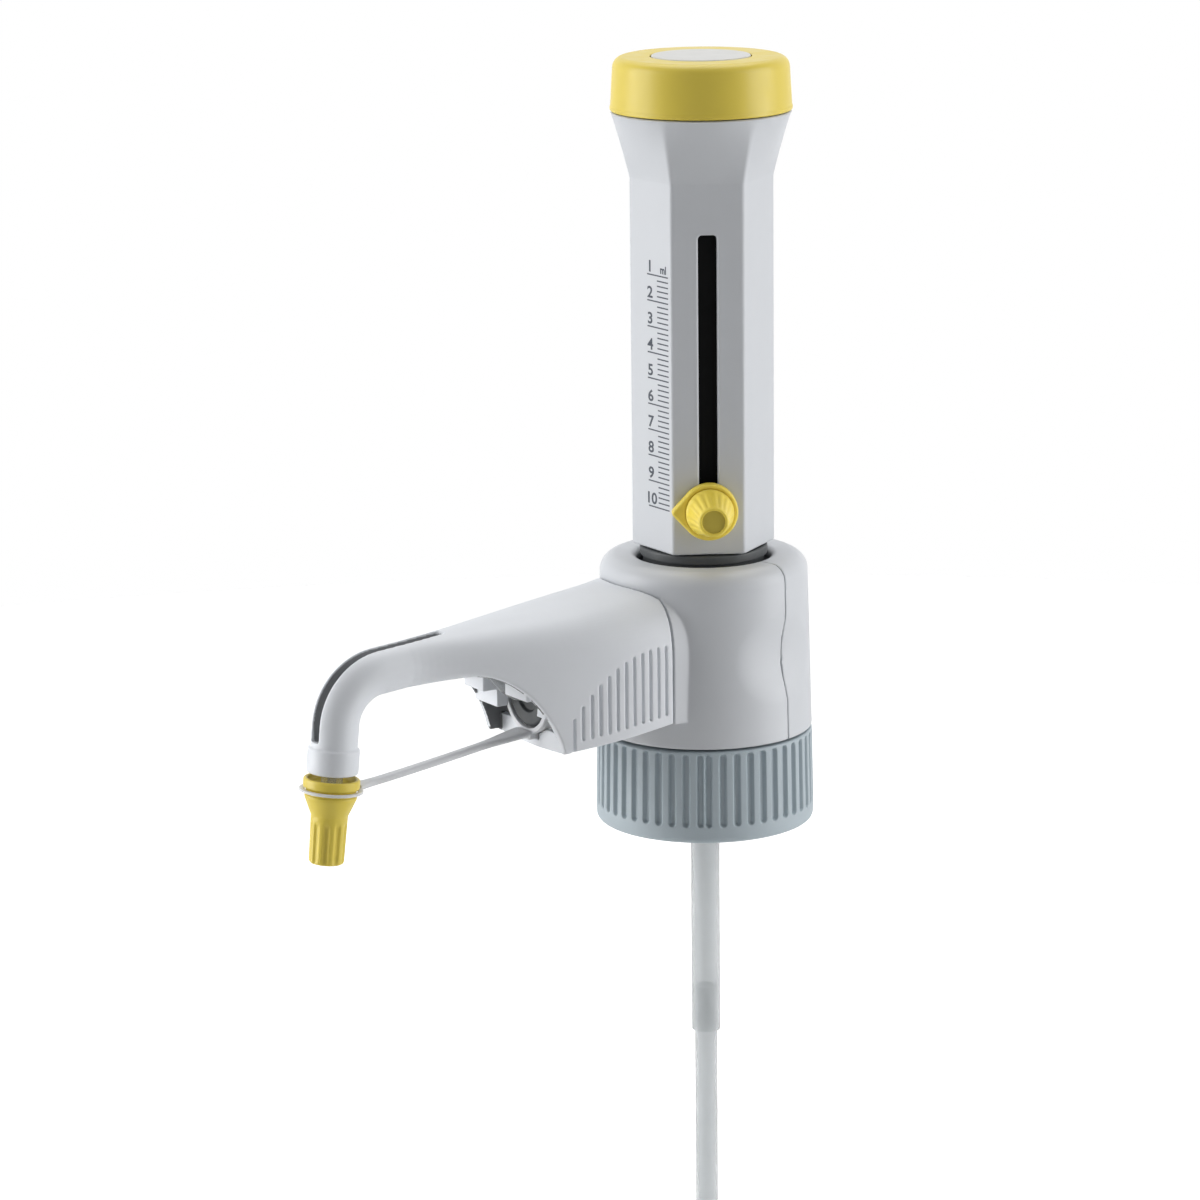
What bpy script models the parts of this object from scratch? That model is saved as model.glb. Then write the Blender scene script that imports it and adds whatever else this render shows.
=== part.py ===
"""Bottle top dispenser with a hexagonal casing, a sliding volume pointer and a bent discharge arm.

The origin is the centre of the plane where the bottle lip seats. +Z runs up the piston, and the
discharge arm points along -X. All sizes are in metres, written as millimetres times MM.
"""
import math

import bmesh
import bpy
from mathutils import Matrix, Vector

MM = 0.001

# Threaded ring that screws on the bottle neck
RING_RADIUS = 27.5 * MM
RING_FOOT_RADIUS = 27.9 * MM
RING_HEIGHT = 23.9 * MM
RING_TOP_Z = 5.0 * MM
RING_BORE_RADIUS = 22.6 * MM
RING_COLLAR_THICKNESS = 3.2 * MM
RING_COLLAR_OVERLAP = 1.7 * MM
GRIP_GROOVES_PER_SIDE = 24
GRIP_GROOVE_TURN = 7.5
GRIP_GROOVE_WIDTH = 1.4 * MM
GRIP_GROOVE_DEPTH = 0.75 * MM
MIDDLE_RIB_TURN = 4.4
MIDDLE_RIB_ANGLE = 234.85
RING_BAND_HEIGHT = 4.2 * MM
RING_FOOT_ROUND = 1.3 * MM

# Valve block with its two covers
BLOCK_GAP = 0.6 * MM
BLOCK_RADIUS = 27.5 * MM
BLOCK_TOP_RADIUS = 26.3 * MM
BLOCK_HEIGHT = 44.8 * MM
BLOCK_LIP_RADIUS = 19.0 * MM
BLOCK_SHOULDER_RADIUS = 6.2 * MM
COVER_WALL = 2.6 * MM
SEAM_ANGLE = 77.0
SEAM_GAP = 0.35 * MM
DIMPLE_DEPTH = 2.2 * MM
DIMPLE_HEIGHT = 23.0 * MM
DIMPLE_WIDTH = 28.0 * MM
DIMPLE_Z = 27.0 * MM
VENT_PLUG_RADIUS = 5.0 * MM
VENT_PLUG_Z = 17.0 * MM
VENT_HOLE_RADIUS = 1.2 * MM
VENT_HOLE_DEPTH = 1.5 * MM

# Glass cylinder, piston and the black guide sleeve around them
PISTON_STROKE = 65.5 * MM
GLASS_BORE_RADIUS = 6.95 * MM
GLASS_WALL = 1.45 * MM
GLASS_BOTTOM_Z = 34.0 * MM
GLASS_SPARE_LENGTH = 22.5 * MM
PISTON_LENGTH = 15.0 * MM
PISTON_END_ROOM = 1.2 * MM
SEAL_LENGTH = 2.9 * MM
ROD_RADIUS = 3.6 * MM
ROD_SCREW_LENGTH = 6.0 * MM
ROD_SCREW_STEP = 0.8 * MM
ROD_END_LENGTH = 8.0 * MM
NUT_RADIUS = 7.0 * MM
CALIBRATION_NUT_HEIGHT = 3.7 * MM
ROD_COUPLING_HEIGHT = 5.0 * MM
GUIDE_INNER_RADIUS = 8.9 * MM
GUIDE_OUTER_RADIUS = 11.0 * MM
GUIDE_TOP_MARGIN = 4.0 * MM
CORE_TOP_Z = 40.0 * MM
CORE_PASSAGE_ROOM = 1.0 * MM
SAFETY_RING_RADIUS = 17.3 * MM
SAFETY_RING_LIP = 2.4 * MM

# Casing sleeve with its slot
CASING_GAP = 2.7 * MM
CASING_APOTHEM = 15.75 * MM
CASING_CORNER_ROUND = 1.2 * MM
CASING_WALL = 2.0 * MM
CASING_HEIGHT = 109.7 * MM
FLARE_HEIGHT = 12.7 * MM
FLARE_RADIUS = 21.85 * MM
SLOT_WIDTH = 4.7 * MM
SLOT_LENGTH = 74.0 * MM
SLOT_END_ROOM = 1.2 * MM
SLOT_CORNER_ROUND = 1.0 * MM
SLOT_FACET_ANGLE = 240.0
WEB_DEPTH = 12.0 * MM
WEB_THICKNESS = 2.4 * MM

# Cap on top of the casing
CAP_RADIUS = 22.75 * MM
CAP_TOP_RADIUS = 21.9 * MM
CAP_HEIGHT = 13.3 * MM
CAP_EDGE_RADIUS = 2.8 * MM
CAP_WALL = 1.8 * MM
CAP_SPIGOT_RADIUS = 17.8 * MM
CAP_SPIGOT_LENGTH = 2.7 * MM
DISC_RADIUS = 12.4 * MM
DISC_THICKNESS = 1.2 * MM
DISC_PROUD = 0.25 * MM

# Volume pointer and its thumb screw
POINTER_REST_Z = 64.5 * MM
POINTER_TRAVEL = 59.0 * MM
POINTER_RADIUS = 7.2 * MM
POINTER_TIP = 10.5 * MM
POINTER_TIP_ROUND = 1.2 * MM
POINTER_THICKNESS = 2.6 * MM
POINTER_TOOTH_HEIGHT = 6.0 * MM
POINTER_TOOTH_ROOM = 0.5 * MM
POINTER_HOLE_RADIUS = 2.1 * MM
POINTER_WING_THICKNESS = 0.6 * MM
SCREW_BASE_RADIUS = 6.0 * MM
SCREW_END_RADIUS = 3.6 * MM
SCREW_LENGTH = 10.8 * MM
SCREW_COLLAR_LENGTH = 1.6 * MM
SCREW_RIB_DEPTH = 0.3 * MM
SCREW_RIBS = 10
SCREW_SHANK_RADIUS = 1.8 * MM
SCREW_TIP_Z = 1.2 * MM
SCREW_END_DIMPLE = 1.6 * MM
TRACK_PITCH = 2.62 * MM
TRACK_WIDTH = 2.4 * MM
TRACK_THICKNESS = 0.7 * MM
TRACK_TOOTH = 0.45 * MM

# Discharge arm
ARM_START = 23.3 * MM
ARM_ELBOW_START = 90.0 * MM
ARM_ELBOW_RADIUS = 20.0 * MM
ARM_ELBOW_TURN = 84.0
ARM_TUBE_RADIUS = 6.3 * MM
ARM_AXIS_Z = 33.4 * MM
ARM_HALF_WIDTH = 19.0 * MM
ARM_TOP_Z = 47.2 * MM
ARM_FOOT_Z = 11.1 * MM
ARM_TIP_Z = 8.5 * MM
ARM_CROWN_HEIGHT = 17.5 * MM
ARM_WALL = 1.8 * MM
FLANGE_THICKNESS = 3.6 * MM
FLANGE_GAP = 0.5 * MM
RECESS_START = 53.4 * MM
RECESS_END = 80.0 * MM
RECESS_CROWN_ROOM = 3.0 * MM
CROSS_WALL_THICKNESS = 1.8 * MM
CROSS_WALL_HEIGHT = 4.2 * MM
CROSS_WALL_LAND = 0.9 * MM
CROSS_WALL_BOW = 0.6 * MM
RECESS_FRONT_END = 74.0 * MM
RECESS_FRONT_CEILING_Z = 31.0 * MM
TUBE_WAY_HALF_WIDTH = 2.4 * MM
TUBE_WAY_CEILING_Z = 34.0 * MM
COLLAR_RADIUS = 6.4 * MM
COLLAR_LENGTH = 6.4 * MM
COLLAR_WAIST = 0.35 * MM
CHANNEL_START = 80.0 * MM
CHANNEL_WIDTH = 3.2 * MM
CHANNEL_DEPTH = 5.6 * MM
CHANNEL_END_TURN = 0.045
SIDE_STEP = 0.3 * MM
GROOVE_COUNT = 12
GROOVE_PITCH = 2.31 * MM
GROOVE_WIDTH = 0.9 * MM
GROOVE_DEPTH = 0.8 * MM
GROOVE_START = 0.7 * MM
GROOVE_LAND = 3.2 * MM
GROOVE_TOP_Z = 33.3 * MM
GROOVE_ARC_RADIUS = 18.9 * MM
GROOVE_ARC_REACH = 22.0 * MM
STAIR_START = 56.6 * MM
STAIR_RUN = 4.35 * MM
STAIR_RISE = 4.6 * MM
STAIR_FOOT_Z = 18.5 * MM
ARM_BULGE = 3.0 * MM
ARM_CROWN_POWER = 2.5
ARM_KEEL_HEIGHT = 0.6 * MM

# Discharge valve and tube
DISCHARGE_Z = 21.3 * MM
DISCHARGE_SEAT_REACH = 12.5 * MM
DISCHARGE_CHAMBER_END = 30.0 * MM
DISCHARGE_TUBE_SOCKET = 7.0 * MM
DISCHARGE_THREAD_RADIUS = 5.9 * MM
DISCHARGE_BODY_RADIUS = 8.3 * MM
DISCHARGE_BODY_END = 54.0 * MM
DISCHARGE_TUBE_RADIUS = 1.4 * MM
DISCHARGE_TUBE_OFFSET = 1.6 * MM
BALL_RADIUS = 1.9 * MM
BALL_LIFT = 1.2 * MM
VALVE_BORE_RADIUS = 1.2 * MM
SEAT_WALL = 1.2 * MM
SEAT_DEPTH = 1.0 * MM
SPRING_TURNS = 4
SPRING_RADIUS = 1.5 * MM
SPRING_WIRE_RADIUS = 0.22 * MM

# Nozzle cap, its loop and its strap
NOZZLE_RADIUS = 2.65 * MM
NOZZLE_BORE_RADIUS = 0.8 * MM
NOZZLE_LENGTH = 9.0 * MM
NOZZLE_CAP_DROP = 1.3 * MM
CAP_FLANGE_RADIUS = 6.95 * MM
CAP_FLANGE_HEIGHT = 2.1 * MM
CAP_CONE_RADIUS = 6.25 * MM
CAP_GRIP_RADIUS = 4.4 * MM
CAP_GRIP_END_RADIUS = 3.65 * MM
CAP_CONE_HEIGHT = 6.0 * MM
CAP_GRIP_HEIGHT = 10.8 * MM
CAP_FLUTES = 8
CAP_FLUTE_DEPTH = 0.35 * MM
CAP_CUP_WALL = 1.0 * MM
CAP_CUP_DEPTH = 1.4 * MM
LOOP_THICKNESS = 0.9 * MM
LOOP_OUTER_RADIUS = 7.9 * MM
STRAP_WIDTH = 2.6 * MM
STRAP_THICKNESS = 1.0 * MM
STRAP_FLARE = 1.2
STRAP_SAG = 0.8 * MM
CLIP_WALL = 1.3 * MM
CLIP_LENGTH = 4.7 * MM
CLIP_TAB_WIDTH = 5.6 * MM
CLIP_TAB_LENGTH = 4.2 * MM

# Filling valve and telescopic filling tube
LIP_SEAT_WIDTH = 6.5 * MM
LIP_SEAT_RELIEF = 0.8 * MM
FILLING_SOCKET_RADIUS = 6.0 * MM
FILLING_SOCKET_TOP_Z = 14.0 * MM
FILLING_FLANGE_WIDTH = 2.0 * MM
FILLING_WASHER_THICKNESS = 1.0 * MM
FILLING_VALVE_BOTTOM_Z = -17.0 * MM
FILLING_SEAT_Z = 3.0 * MM
UPPER_TUBE_RADIUS = 3.7 * MM
UPPER_TUBE_WALL = 0.7 * MM
UPPER_TUBE_TOP_Z = -7.0 * MM
UPPER_TUBE_LENGTH = 70.0 * MM
LOWER_TUBE_WALL = 0.6 * MM
LOWER_TUBE_LENGTH = 100.0 * MM
TUBE_OVERLAP = 12.0 * MM

# Fits
TOUCH_GAP = 0.3 * MM
RUNNING_GAP = 0.1 * MM

# Small edges and tool bodies
FINE_EDGE = 0.4 * MM
EDGE = 0.6 * MM
OVERSHOOT = 5.0 * MM

# Turns in degrees
FULL_TURN = 360.0
HALF_FACET = 30.0
CORNER_STEP_TURN = 2.0

# Facets around a round piece and along a bend
ROUND_STEPS = 36
INNER_STEPS = 22
SMALL_STEPS = 16
SHOULDER_STEPS = 4
CROWN_STEPS = 10
KEEL_STEPS = 6
FLARE_STEPS = 5
SPRING_STEPS = 8
STRAP_STEPS = 12
ROOT_STEPS = 4
RECESS_STEPS = 6
BEND_STEPS = 9

BLOCK_BOTTOM_Z = RING_TOP_Z + BLOCK_GAP
BLOCK_TOP_Z = BLOCK_BOTTOM_Z + BLOCK_HEIGHT
BLOCK_SHOULDER = (BLOCK_TOP_RADIUS - BLOCK_SHOULDER_RADIUS, BLOCK_TOP_Z - BLOCK_SHOULDER_RADIUS)
CORE_RADIUS = BLOCK_TOP_RADIUS - COVER_WALL + EDGE
COVER_INNER_RADIUS = CORE_RADIUS + TOUCH_GAP
CASING_BOTTOM_Z = BLOCK_TOP_Z + CASING_GAP
CASING_TOP_Z = CASING_BOTTOM_Z + CASING_HEIGHT
CASING_INNER_APOTHEM = CASING_APOTHEM - CASING_WALL
SLOT_TOP_Z = POINTER_REST_Z + SLOT_LENGTH - SLOT_WIDTH
WEB_TOP_Z = CASING_TOP_Z - WEB_DEPTH + WEB_THICKNESS
GLASS_OUTER_RADIUS = GLASS_BORE_RADIUS + GLASS_WALL
GLASS_TOP_Z = GLASS_BOTTOM_Z + PISTON_STROKE + GLASS_SPARE_LENGTH
PISTON_RADIUS = GLASS_BORE_RADIUS - RUNNING_GAP
PISTON_BOTTOM_Z = GLASS_BOTTOM_Z + PISTON_END_ROOM
PISTON_TOP_Z = PISTON_BOTTOM_Z + PISTON_LENGTH
BALL_SEAT_RISE = math.sqrt((BALL_RADIUS + TOUCH_GAP) ** 2 - VALVE_BORE_RADIUS ** 2)
POINTER_TOOTH_WIDTH = SLOT_WIDTH - 2 * POINTER_TOOTH_ROOM
ELBOW_TURN = math.radians(ARM_ELBOW_TURN)
NOZZLE_DOWN = Vector((-math.cos(ELBOW_TURN), 0, -math.sin(ELBOW_TURN)))
NOZZLE_INWARD = Vector((math.sin(ELBOW_TURN), 0, -math.cos(ELBOW_TURN)))
SIDEWAYS = Vector((0, 1, 0))
WORLD_PLANES = ((1, 0, 0), (0, 1, 0), (0, 0, 1))
ARM_PLAN_PLANES = ((-1, 0, 0), (0, 1, 0), (0, 0, 1))
ARM_SIDE_PLANES = ((-1, 0, 0), (0, 0, 1), (0, 1, 0))


def material(name, colour, roughness, metallic=0.0, alpha=1.0):
    """Principled finish for one piece."""
    made = bpy.data.materials.new(name)
    made.use_nodes = True
    shader = made.node_tree.nodes["Principled BSDF"]
    shader.inputs["Base Color"].default_value = (*colour, 1.0)
    shader.inputs["Roughness"].default_value = roughness
    shader.inputs["Metallic"].default_value = metallic
    shader.inputs["Alpha"].default_value = alpha
    made.diffuse_color = (*colour, alpha)
    return made


def empty(name, parent=None, location=(0, 0, 0), rotation=(0, 0, 0)):
    """Axis frame that carries the pieces of one moving body."""
    frame = bpy.data.objects.new(name, None)
    bpy.context.collection.objects.link(frame)
    frame.parent = parent
    frame.location = location
    frame.rotation_euler = rotation
    return frame


def solid(name, bm, finish, parent=None, location=(0, 0, 0), rotation=(0, 0, 0)):
    """Turn a closed bmesh into a named piece with outward faces and smooth round sides."""
    bmesh.ops.recalc_face_normals(bm, faces=bm.faces)
    mesh = bpy.data.meshes.new(name)
    bm.to_mesh(mesh)
    bm.free()
    mesh.shade_smooth()
    mesh.set_sharp_from_angle(angle=math.radians(32))
    if finish is not None:
        mesh.materials.append(finish)
    piece = bpy.data.objects.new(name, mesh)
    bpy.context.collection.objects.link(piece)
    piece.parent = parent
    piece.location = location
    piece.rotation_euler = rotation
    return piece


def cutter(name, bm, parent=None, location=(0, 0, 0), rotation=(0, 0, 0)):
    """Tool body for a Boolean, left out of the built model."""
    tool = solid(name, bm, None, parent, location, rotation)
    tool.hide_render = True
    tool.display_type = 'WIRE'
    return tool


def boolean(piece, tool, operation='DIFFERENCE'):
    """Cut the tool out of a piece, or join it on."""
    step = piece.modifiers.new(tool.name, 'BOOLEAN')
    step.operation = operation
    step.solver = 'EXACT'
    step.object = tool


def skin(rings, closed=False):
    """Loft one face strip between each ring of points and the next."""
    bm = bmesh.new()
    loops = [[bm.verts.new(point) for point in ring] for ring in rings]
    pairs = list(zip(loops, loops[1:] + loops[:1])) if closed else list(zip(loops, loops[1:]))
    for low, high in pairs:
        count = len(low)
        for index in range(count):
            following = (index + 1) % count
            bm.faces.new((low[index], low[following], high[following], high[index]))
    if not closed:
        bm.faces.new(list(reversed(loops[0])))
        bm.faces.new(loops[-1])
    return bm


def revolve(profile, steps=ROUND_STEPS, ring=True):
    """Spin a profile of (radius, z) points about Z. A ring profile is a closed outline off the axis."""
    bm = bmesh.new()
    verts = [bm.verts.new((radius, 0, z)) for radius, z in profile]
    ends = verts[1:] + (verts[:1] if ring else [])
    edges = [bm.edges.new(pair) for pair in zip(verts, ends)]
    bmesh.ops.spin(bm, geom=verts + edges, cent=(0, 0, 0), axis=(0, 0, 1), angle=math.tau,
                   steps=steps, use_merge=True, use_duplicate=False)
    bmesh.ops.remove_doubles(bm, verts=bm.verts, dist=1e-6)
    return bm


def sector(profile, start, sweep, steps):
    """Spin a closed (radius, z) profile through part of a turn, with flat ends."""
    rings = []
    for step in range(steps + 1):
        angle = math.radians(start + sweep * step / steps)
        rings.append([(r * math.cos(angle), r * math.sin(angle), z) for r, z in profile])
    return skin(rings)


def arc(centre, radius, start, end, steps):
    """Points of a circular arc in the profile plane, angles in degrees."""
    points = []
    for step in range(steps + 1):
        angle = math.radians(start + (end - start) * step / steps)
        points.append((centre[0] + radius * math.cos(angle), centre[1] + radius * math.sin(angle)))
    return points


def prism(outline, depth, axes):
    """Extrude a plane outline by depth. axes gives the directions of u, v and the extrusion."""
    across, up, along = (Vector(axis) for axis in axes)
    rings = [[across * u + up * v + along * reach for u, v in outline] for reach in depth]
    return skin(rings)


def block(low, high):
    """Box between two corners."""
    outline = [(low[0], low[1]), (high[0], low[1]), (high[0], high[1]), (low[0], high[1])]
    return prism(outline, (low[2], high[2]), WORLD_PLANES)


def rod(radius, low, high, steps=SMALL_STEPS):
    """Plain round body along Z."""
    return revolve([(0, low), (radius, low), (radius, high), (0, high)], steps, ring=False)


def fluted(rows, ribs):
    """Loft (radius, z, depth) rows into a body with ribs, each groove sunk by its row's depth."""
    rings = []
    for radius, z, depth in rows:
        ring = []
        for step in range(ribs * 4):
            angle = math.tau * step / (ribs * 4)
            reach = radius - depth if step % 4 >= 2 else radius
            ring.append((reach * math.cos(angle), reach * math.sin(angle), z))
        rings.append(ring)
    return skin(rings)


def merge(parts):
    """Put several closed bodies in one bmesh."""
    whole = bmesh.new()
    for part in parts:
        scrap = bpy.data.meshes.new("scrap")
        part.to_mesh(scrap)
        part.free()
        whole.from_mesh(scrap)
        bpy.data.meshes.remove(scrap)
    return whole


def direction(points, index):
    """Unit tangent of a path at one of its points."""
    return (points[min(index + 1, len(points) - 1)] - points[max(index - 1, 0)]).normalized()


def tube_along(points, radius, sides=8):
    """Loft a round tube body along a path in the XZ plane."""
    rings = []
    for index, point in enumerate(points):
        up = direction(points, index).cross(SIDEWAYS).normalized()
        angles = (math.tau * step / sides for step in range(sides))
        rings.append([point + radius * (SIDEWAYS * math.cos(a) + up * math.sin(a)) for a in angles])
    return skin(rings)


def coil_body(points, radius, sides=5):
    """Loft a round wire along the turns of a coil about Z."""
    rings = []
    for index, point in enumerate(points):
        out = Vector((point.x, point.y, 0)).normalized()
        up = direction(points, index).cross(out).normalized()
        angles = (math.tau * step / sides for step in range(sides))
        rings.append([point + radius * (out * math.cos(a) + up * math.sin(a)) for a in angles])
    return skin(rings)


def hex_radius(angle, apothem, corner):
    """Distance from the axis to a hexagon with rounded edges, at an angle from a facet's normal."""
    off = abs((angle + HALF_FACET) % (2 * HALF_FACET) - HALF_FACET)
    corner_centre = (apothem - corner) / math.cos(math.radians(HALF_FACET))
    half_flat = (apothem - corner) * math.tan(math.radians(HALF_FACET))
    flat_end = math.degrees(math.atan(half_flat / apothem))
    if off <= flat_end:
        return apothem / math.cos(math.radians(off))
    away = math.radians(HALF_FACET - off)
    return (corner_centre * math.cos(away)
            + math.sqrt(corner ** 2 - (corner_centre * math.sin(away)) ** 2))


def casing_angles():
    """Angles around the casing, close together at the rounded edges."""
    flat = HALF_FACET - CORNER_STEP_TURN
    offsets = (-HALF_FACET, -flat, -flat / 2, 0, flat / 2, flat)
    facets = round(FULL_TURN / (2 * HALF_FACET))
    return [2 * HALF_FACET * facet + offset for facet in range(facets) for offset in offsets]


def casing_ring(z, apothem, corner, circle=None, blend=0.0):
    """One ring of the casing, a hexagon turning into a circle as blend goes to 1."""
    ring = []
    for angle in casing_angles():
        radius = hex_radius(angle, apothem, corner)
        if circle is not None:
            radius += (circle - radius) * blend
        turn = math.radians(angle)
        ring.append((radius * math.cos(turn), radius * math.sin(turn), z))
    return ring


def cover_profile():
    """Half section of the block covers: outer wall, rounded shoulder, lip and inner wall."""
    inner = BLOCK_SHOULDER_RADIUS - COVER_WALL
    roof = BLOCK_TOP_Z - COVER_WALL
    return ([(COVER_INNER_RADIUS, BLOCK_BOTTOM_Z), (BLOCK_RADIUS - EDGE, BLOCK_BOTTOM_Z),
             (BLOCK_RADIUS, BLOCK_BOTTOM_Z + EDGE)]
            + arc(BLOCK_SHOULDER, BLOCK_SHOULDER_RADIUS, 0, 90, SHOULDER_STEPS)
            + [(BLOCK_LIP_RADIUS + EDGE, BLOCK_TOP_Z), (BLOCK_LIP_RADIUS, BLOCK_TOP_Z - EDGE),
               (BLOCK_LIP_RADIUS, roof)]
            + arc((COVER_INNER_RADIUS - inner, roof - inner), inner, 90, 0, 2))


def block_form(gap):
    """Body of the block's outer wall, grown by a gap, to trim what stands against it."""
    profile = [(0, BLOCK_BOTTOM_Z - OVERSHOOT), (BLOCK_RADIUS + gap, BLOCK_BOTTOM_Z - OVERSHOOT),
               (BLOCK_RADIUS + gap, BLOCK_BOTTOM_Z)]
    profile += arc(BLOCK_SHOULDER, BLOCK_SHOULDER_RADIUS + gap, 0, 90, SHOULDER_STEPS)
    profile.append((0, BLOCK_TOP_Z + gap))
    return revolve(profile, ring=False)


def dimple_tools():
    """Ellipsoids that press the two finger dimples into the covers over the seams."""
    tools = []
    for side in (-1, 1):
        bm = bmesh.new()
        bmesh.ops.create_uvsphere(bm, u_segments=20, v_segments=12, radius=1.0)
        depth = 3.0 * DIMPLE_DEPTH
        reach = BLOCK_RADIUS + depth - DIMPLE_DEPTH
        stretch = 0.5 / math.sqrt(1 - ((depth - DIMPLE_DEPTH) / depth) ** 2)
        scale = (depth, DIMPLE_WIDTH * stretch, DIMPLE_HEIGHT * stretch)
        bmesh.ops.scale(bm, vec=scale, verts=bm.verts)
        bmesh.ops.translate(bm, vec=(reach, 0, DIMPLE_Z), verts=bm.verts)
        turn = Matrix.Rotation(math.radians(side * SEAM_ANGLE), 4, 'Z')
        bmesh.ops.rotate(bm, verts=bm.verts, cent=(0, 0, 0), matrix=turn)
        tools.append(bm)
    return cutter("dimple_tool", merge(tools))


def arm_crown(half_width, height, power, base, steps=CROWN_STEPS):
    """Arch from the near side over the top to the far side, as (across, up) points."""
    points = []
    for step in range(steps + 1):
        angle = math.pi * step / steps
        across = math.copysign(abs(math.cos(angle)) ** (2 / power), math.cos(angle))
        points.append((half_width * across, base + height * math.sin(angle) ** (2 / power)))
    return points


def arm_width(reach):
    """Half width of the arm seen from above, from the flange to the round tube."""
    ease = (1 - arm_share(reach) ** 1.4) ** 1.25
    return ARM_TUBE_RADIUS + (ARM_HALF_WIDTH - ARM_TUBE_RADIUS) * ease


def arm_share(reach):
    """How far along the straight arm a point is, 0 at the flange and 1 at the elbow."""
    return min(max((reach - ARM_START) / (ARM_ELBOW_START - ARM_START), 0.0), 1.0)


def arm_top(reach):
    """Height of the arm's ridge."""
    share = arm_share(reach)
    low = ARM_AXIS_Z + ARM_TUBE_RADIUS
    bulge = ARM_BULGE * share * (1 - share)
    return ARM_TOP_Z + (low - ARM_TOP_Z) * share + bulge


def arm_bottom(reach):
    """Height of the arm's lower edge, with the elliptical rise of the recess."""
    if reach <= RECESS_START:
        share = (reach - ARM_START) / (RECESS_START - ARM_START)
        return ARM_FOOT_Z + (ARM_TIP_Z - ARM_FOOT_Z) * share
    low = ARM_AXIS_Z - ARM_TUBE_RADIUS
    if reach >= RECESS_END:
        return low
    back = (RECESS_END - reach) / (RECESS_END - RECESS_START)
    return ARM_TIP_Z + (low - ARM_TIP_Z) * math.sqrt(1 - back ** 2)


def arm_ring(reach):
    """Ring of the straight arm, always with the same number of points."""
    share = arm_share(reach)
    half = arm_width(reach)
    top, bottom = arm_top(reach), arm_bottom(reach)
    depth = top - bottom
    crown = min(ARM_CROWN_HEIGHT + (ARM_TUBE_RADIUS - ARM_CROWN_HEIGHT) * share ** 0.8, 0.78 * depth)
    crown += (0.5 * depth - crown) * share ** 4
    keel = ARM_KEEL_HEIGHT + (0.5 * depth - ARM_KEEL_HEIGHT) * share ** 4
    keel = min(keel, depth - crown)
    upper = arm_crown(half, crown, ARM_CROWN_POWER + (2 - ARM_CROWN_POWER) * share, top - crown)
    lower = arm_crown(half, keel, 4.0 - 2.0 * share ** 2, 0.0, KEEL_STEPS)
    lower = [(-across, bottom + keel - up) for across, up in lower]
    if depth - crown - keel < SIDE_STEP:
        lower[0] = (lower[0][0], lower[0][1] - SIDE_STEP)
        lower[-1] = (lower[-1][0], lower[-1][1] - SIDE_STEP)
    return [(-reach, across, up) for across, up in upper + lower]


def elbow_point(turn, out=0.0):
    """Point on the bent tube's axis after a turn, moved out by a distance from the bend's centre."""
    radius = ARM_ELBOW_RADIUS + out
    return Vector((-(ARM_ELBOW_START + radius * math.sin(turn)), 0,
                   ARM_AXIS_Z - ARM_ELBOW_RADIUS + radius * math.cos(turn)))


def elbow_ring(turn, radius, shift=0.0, beyond=0.0):
    """Round section of the elbow, or of the nozzle beyond it, with as many points as arm_ring."""
    along = Vector((-math.cos(turn), 0, -math.sin(turn)))
    centre = elbow_point(turn, -shift) + beyond * along
    up = Vector((-math.sin(turn), 0, math.cos(turn)))
    side_turn = SIDE_STEP / radius
    upper = [math.pi * step / CROWN_STEPS for step in range(CROWN_STEPS + 1)]
    lower = [math.pi + side_turn + (math.pi - 2 * side_turn) * step / KEEL_STEPS
             for step in range(KEEL_STEPS + 1)]
    return [centre + radius * (SIDEWAYS * math.cos(a) + up * math.sin(a)) for a in upper + lower]


def nozzle_frame(parent):
    """Frame at the centre of the collar's lower face, with +Z up along the nozzle."""
    foot = elbow_point(ELBOW_TURN) + COLLAR_LENGTH * NOZZLE_DOWN
    return empty("nozzle_axis", parent, foot, (0, math.pi / 2 - ELBOW_TURN, 0))


def tube_path():
    """Centre line of the inner discharge tube, from the valve through the arm to the nozzle."""
    start = DISCHARGE_TUBE_SOCKET - TOUCH_GAP - DISCHARGE_BODY_END
    climb_from, climb_to = DISCHARGE_BODY_END + CLIP_WALL, RECESS_FRONT_END + CLIP_WALL
    high = ARM_AXIS_Z + DISCHARGE_TUBE_OFFSET
    points = [Vector((start, 0, DISCHARGE_Z))]
    for step in range(8):
        share = step / 7
        ease = share * share * (3 - 2 * share)
        points.append(Vector((-(climb_from + (climb_to - climb_from) * share), 0,
                              DISCHARGE_Z + (high - DISCHARGE_Z) * ease)))
    points.append(Vector((-0.5 * (climb_to + ARM_ELBOW_START), 0, high)))
    for step in range(BEND_STEPS + 1):
        share = step / BEND_STEPS
        out = DISCHARGE_TUBE_OFFSET * (1 - max(0.0, (share - 0.6) / 0.4) ** 1.5)
        points.append(elbow_point(ELBOW_TURN * share, out))
    return points


def grip_groove_angles():
    """Angles of the ring's grip grooves, counted both ways from the narrow rib at the front."""
    angles = [MIDDLE_RIB_ANGLE + side * (MIDDLE_RIB_TURN / 2 + GRIP_GROOVE_TURN * index)
              for side in (-1, 1) for index in range(GRIP_GROOVES_PER_SIDE)]
    return sorted(math.radians(angle % FULL_TURN) for angle in angles)


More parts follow.
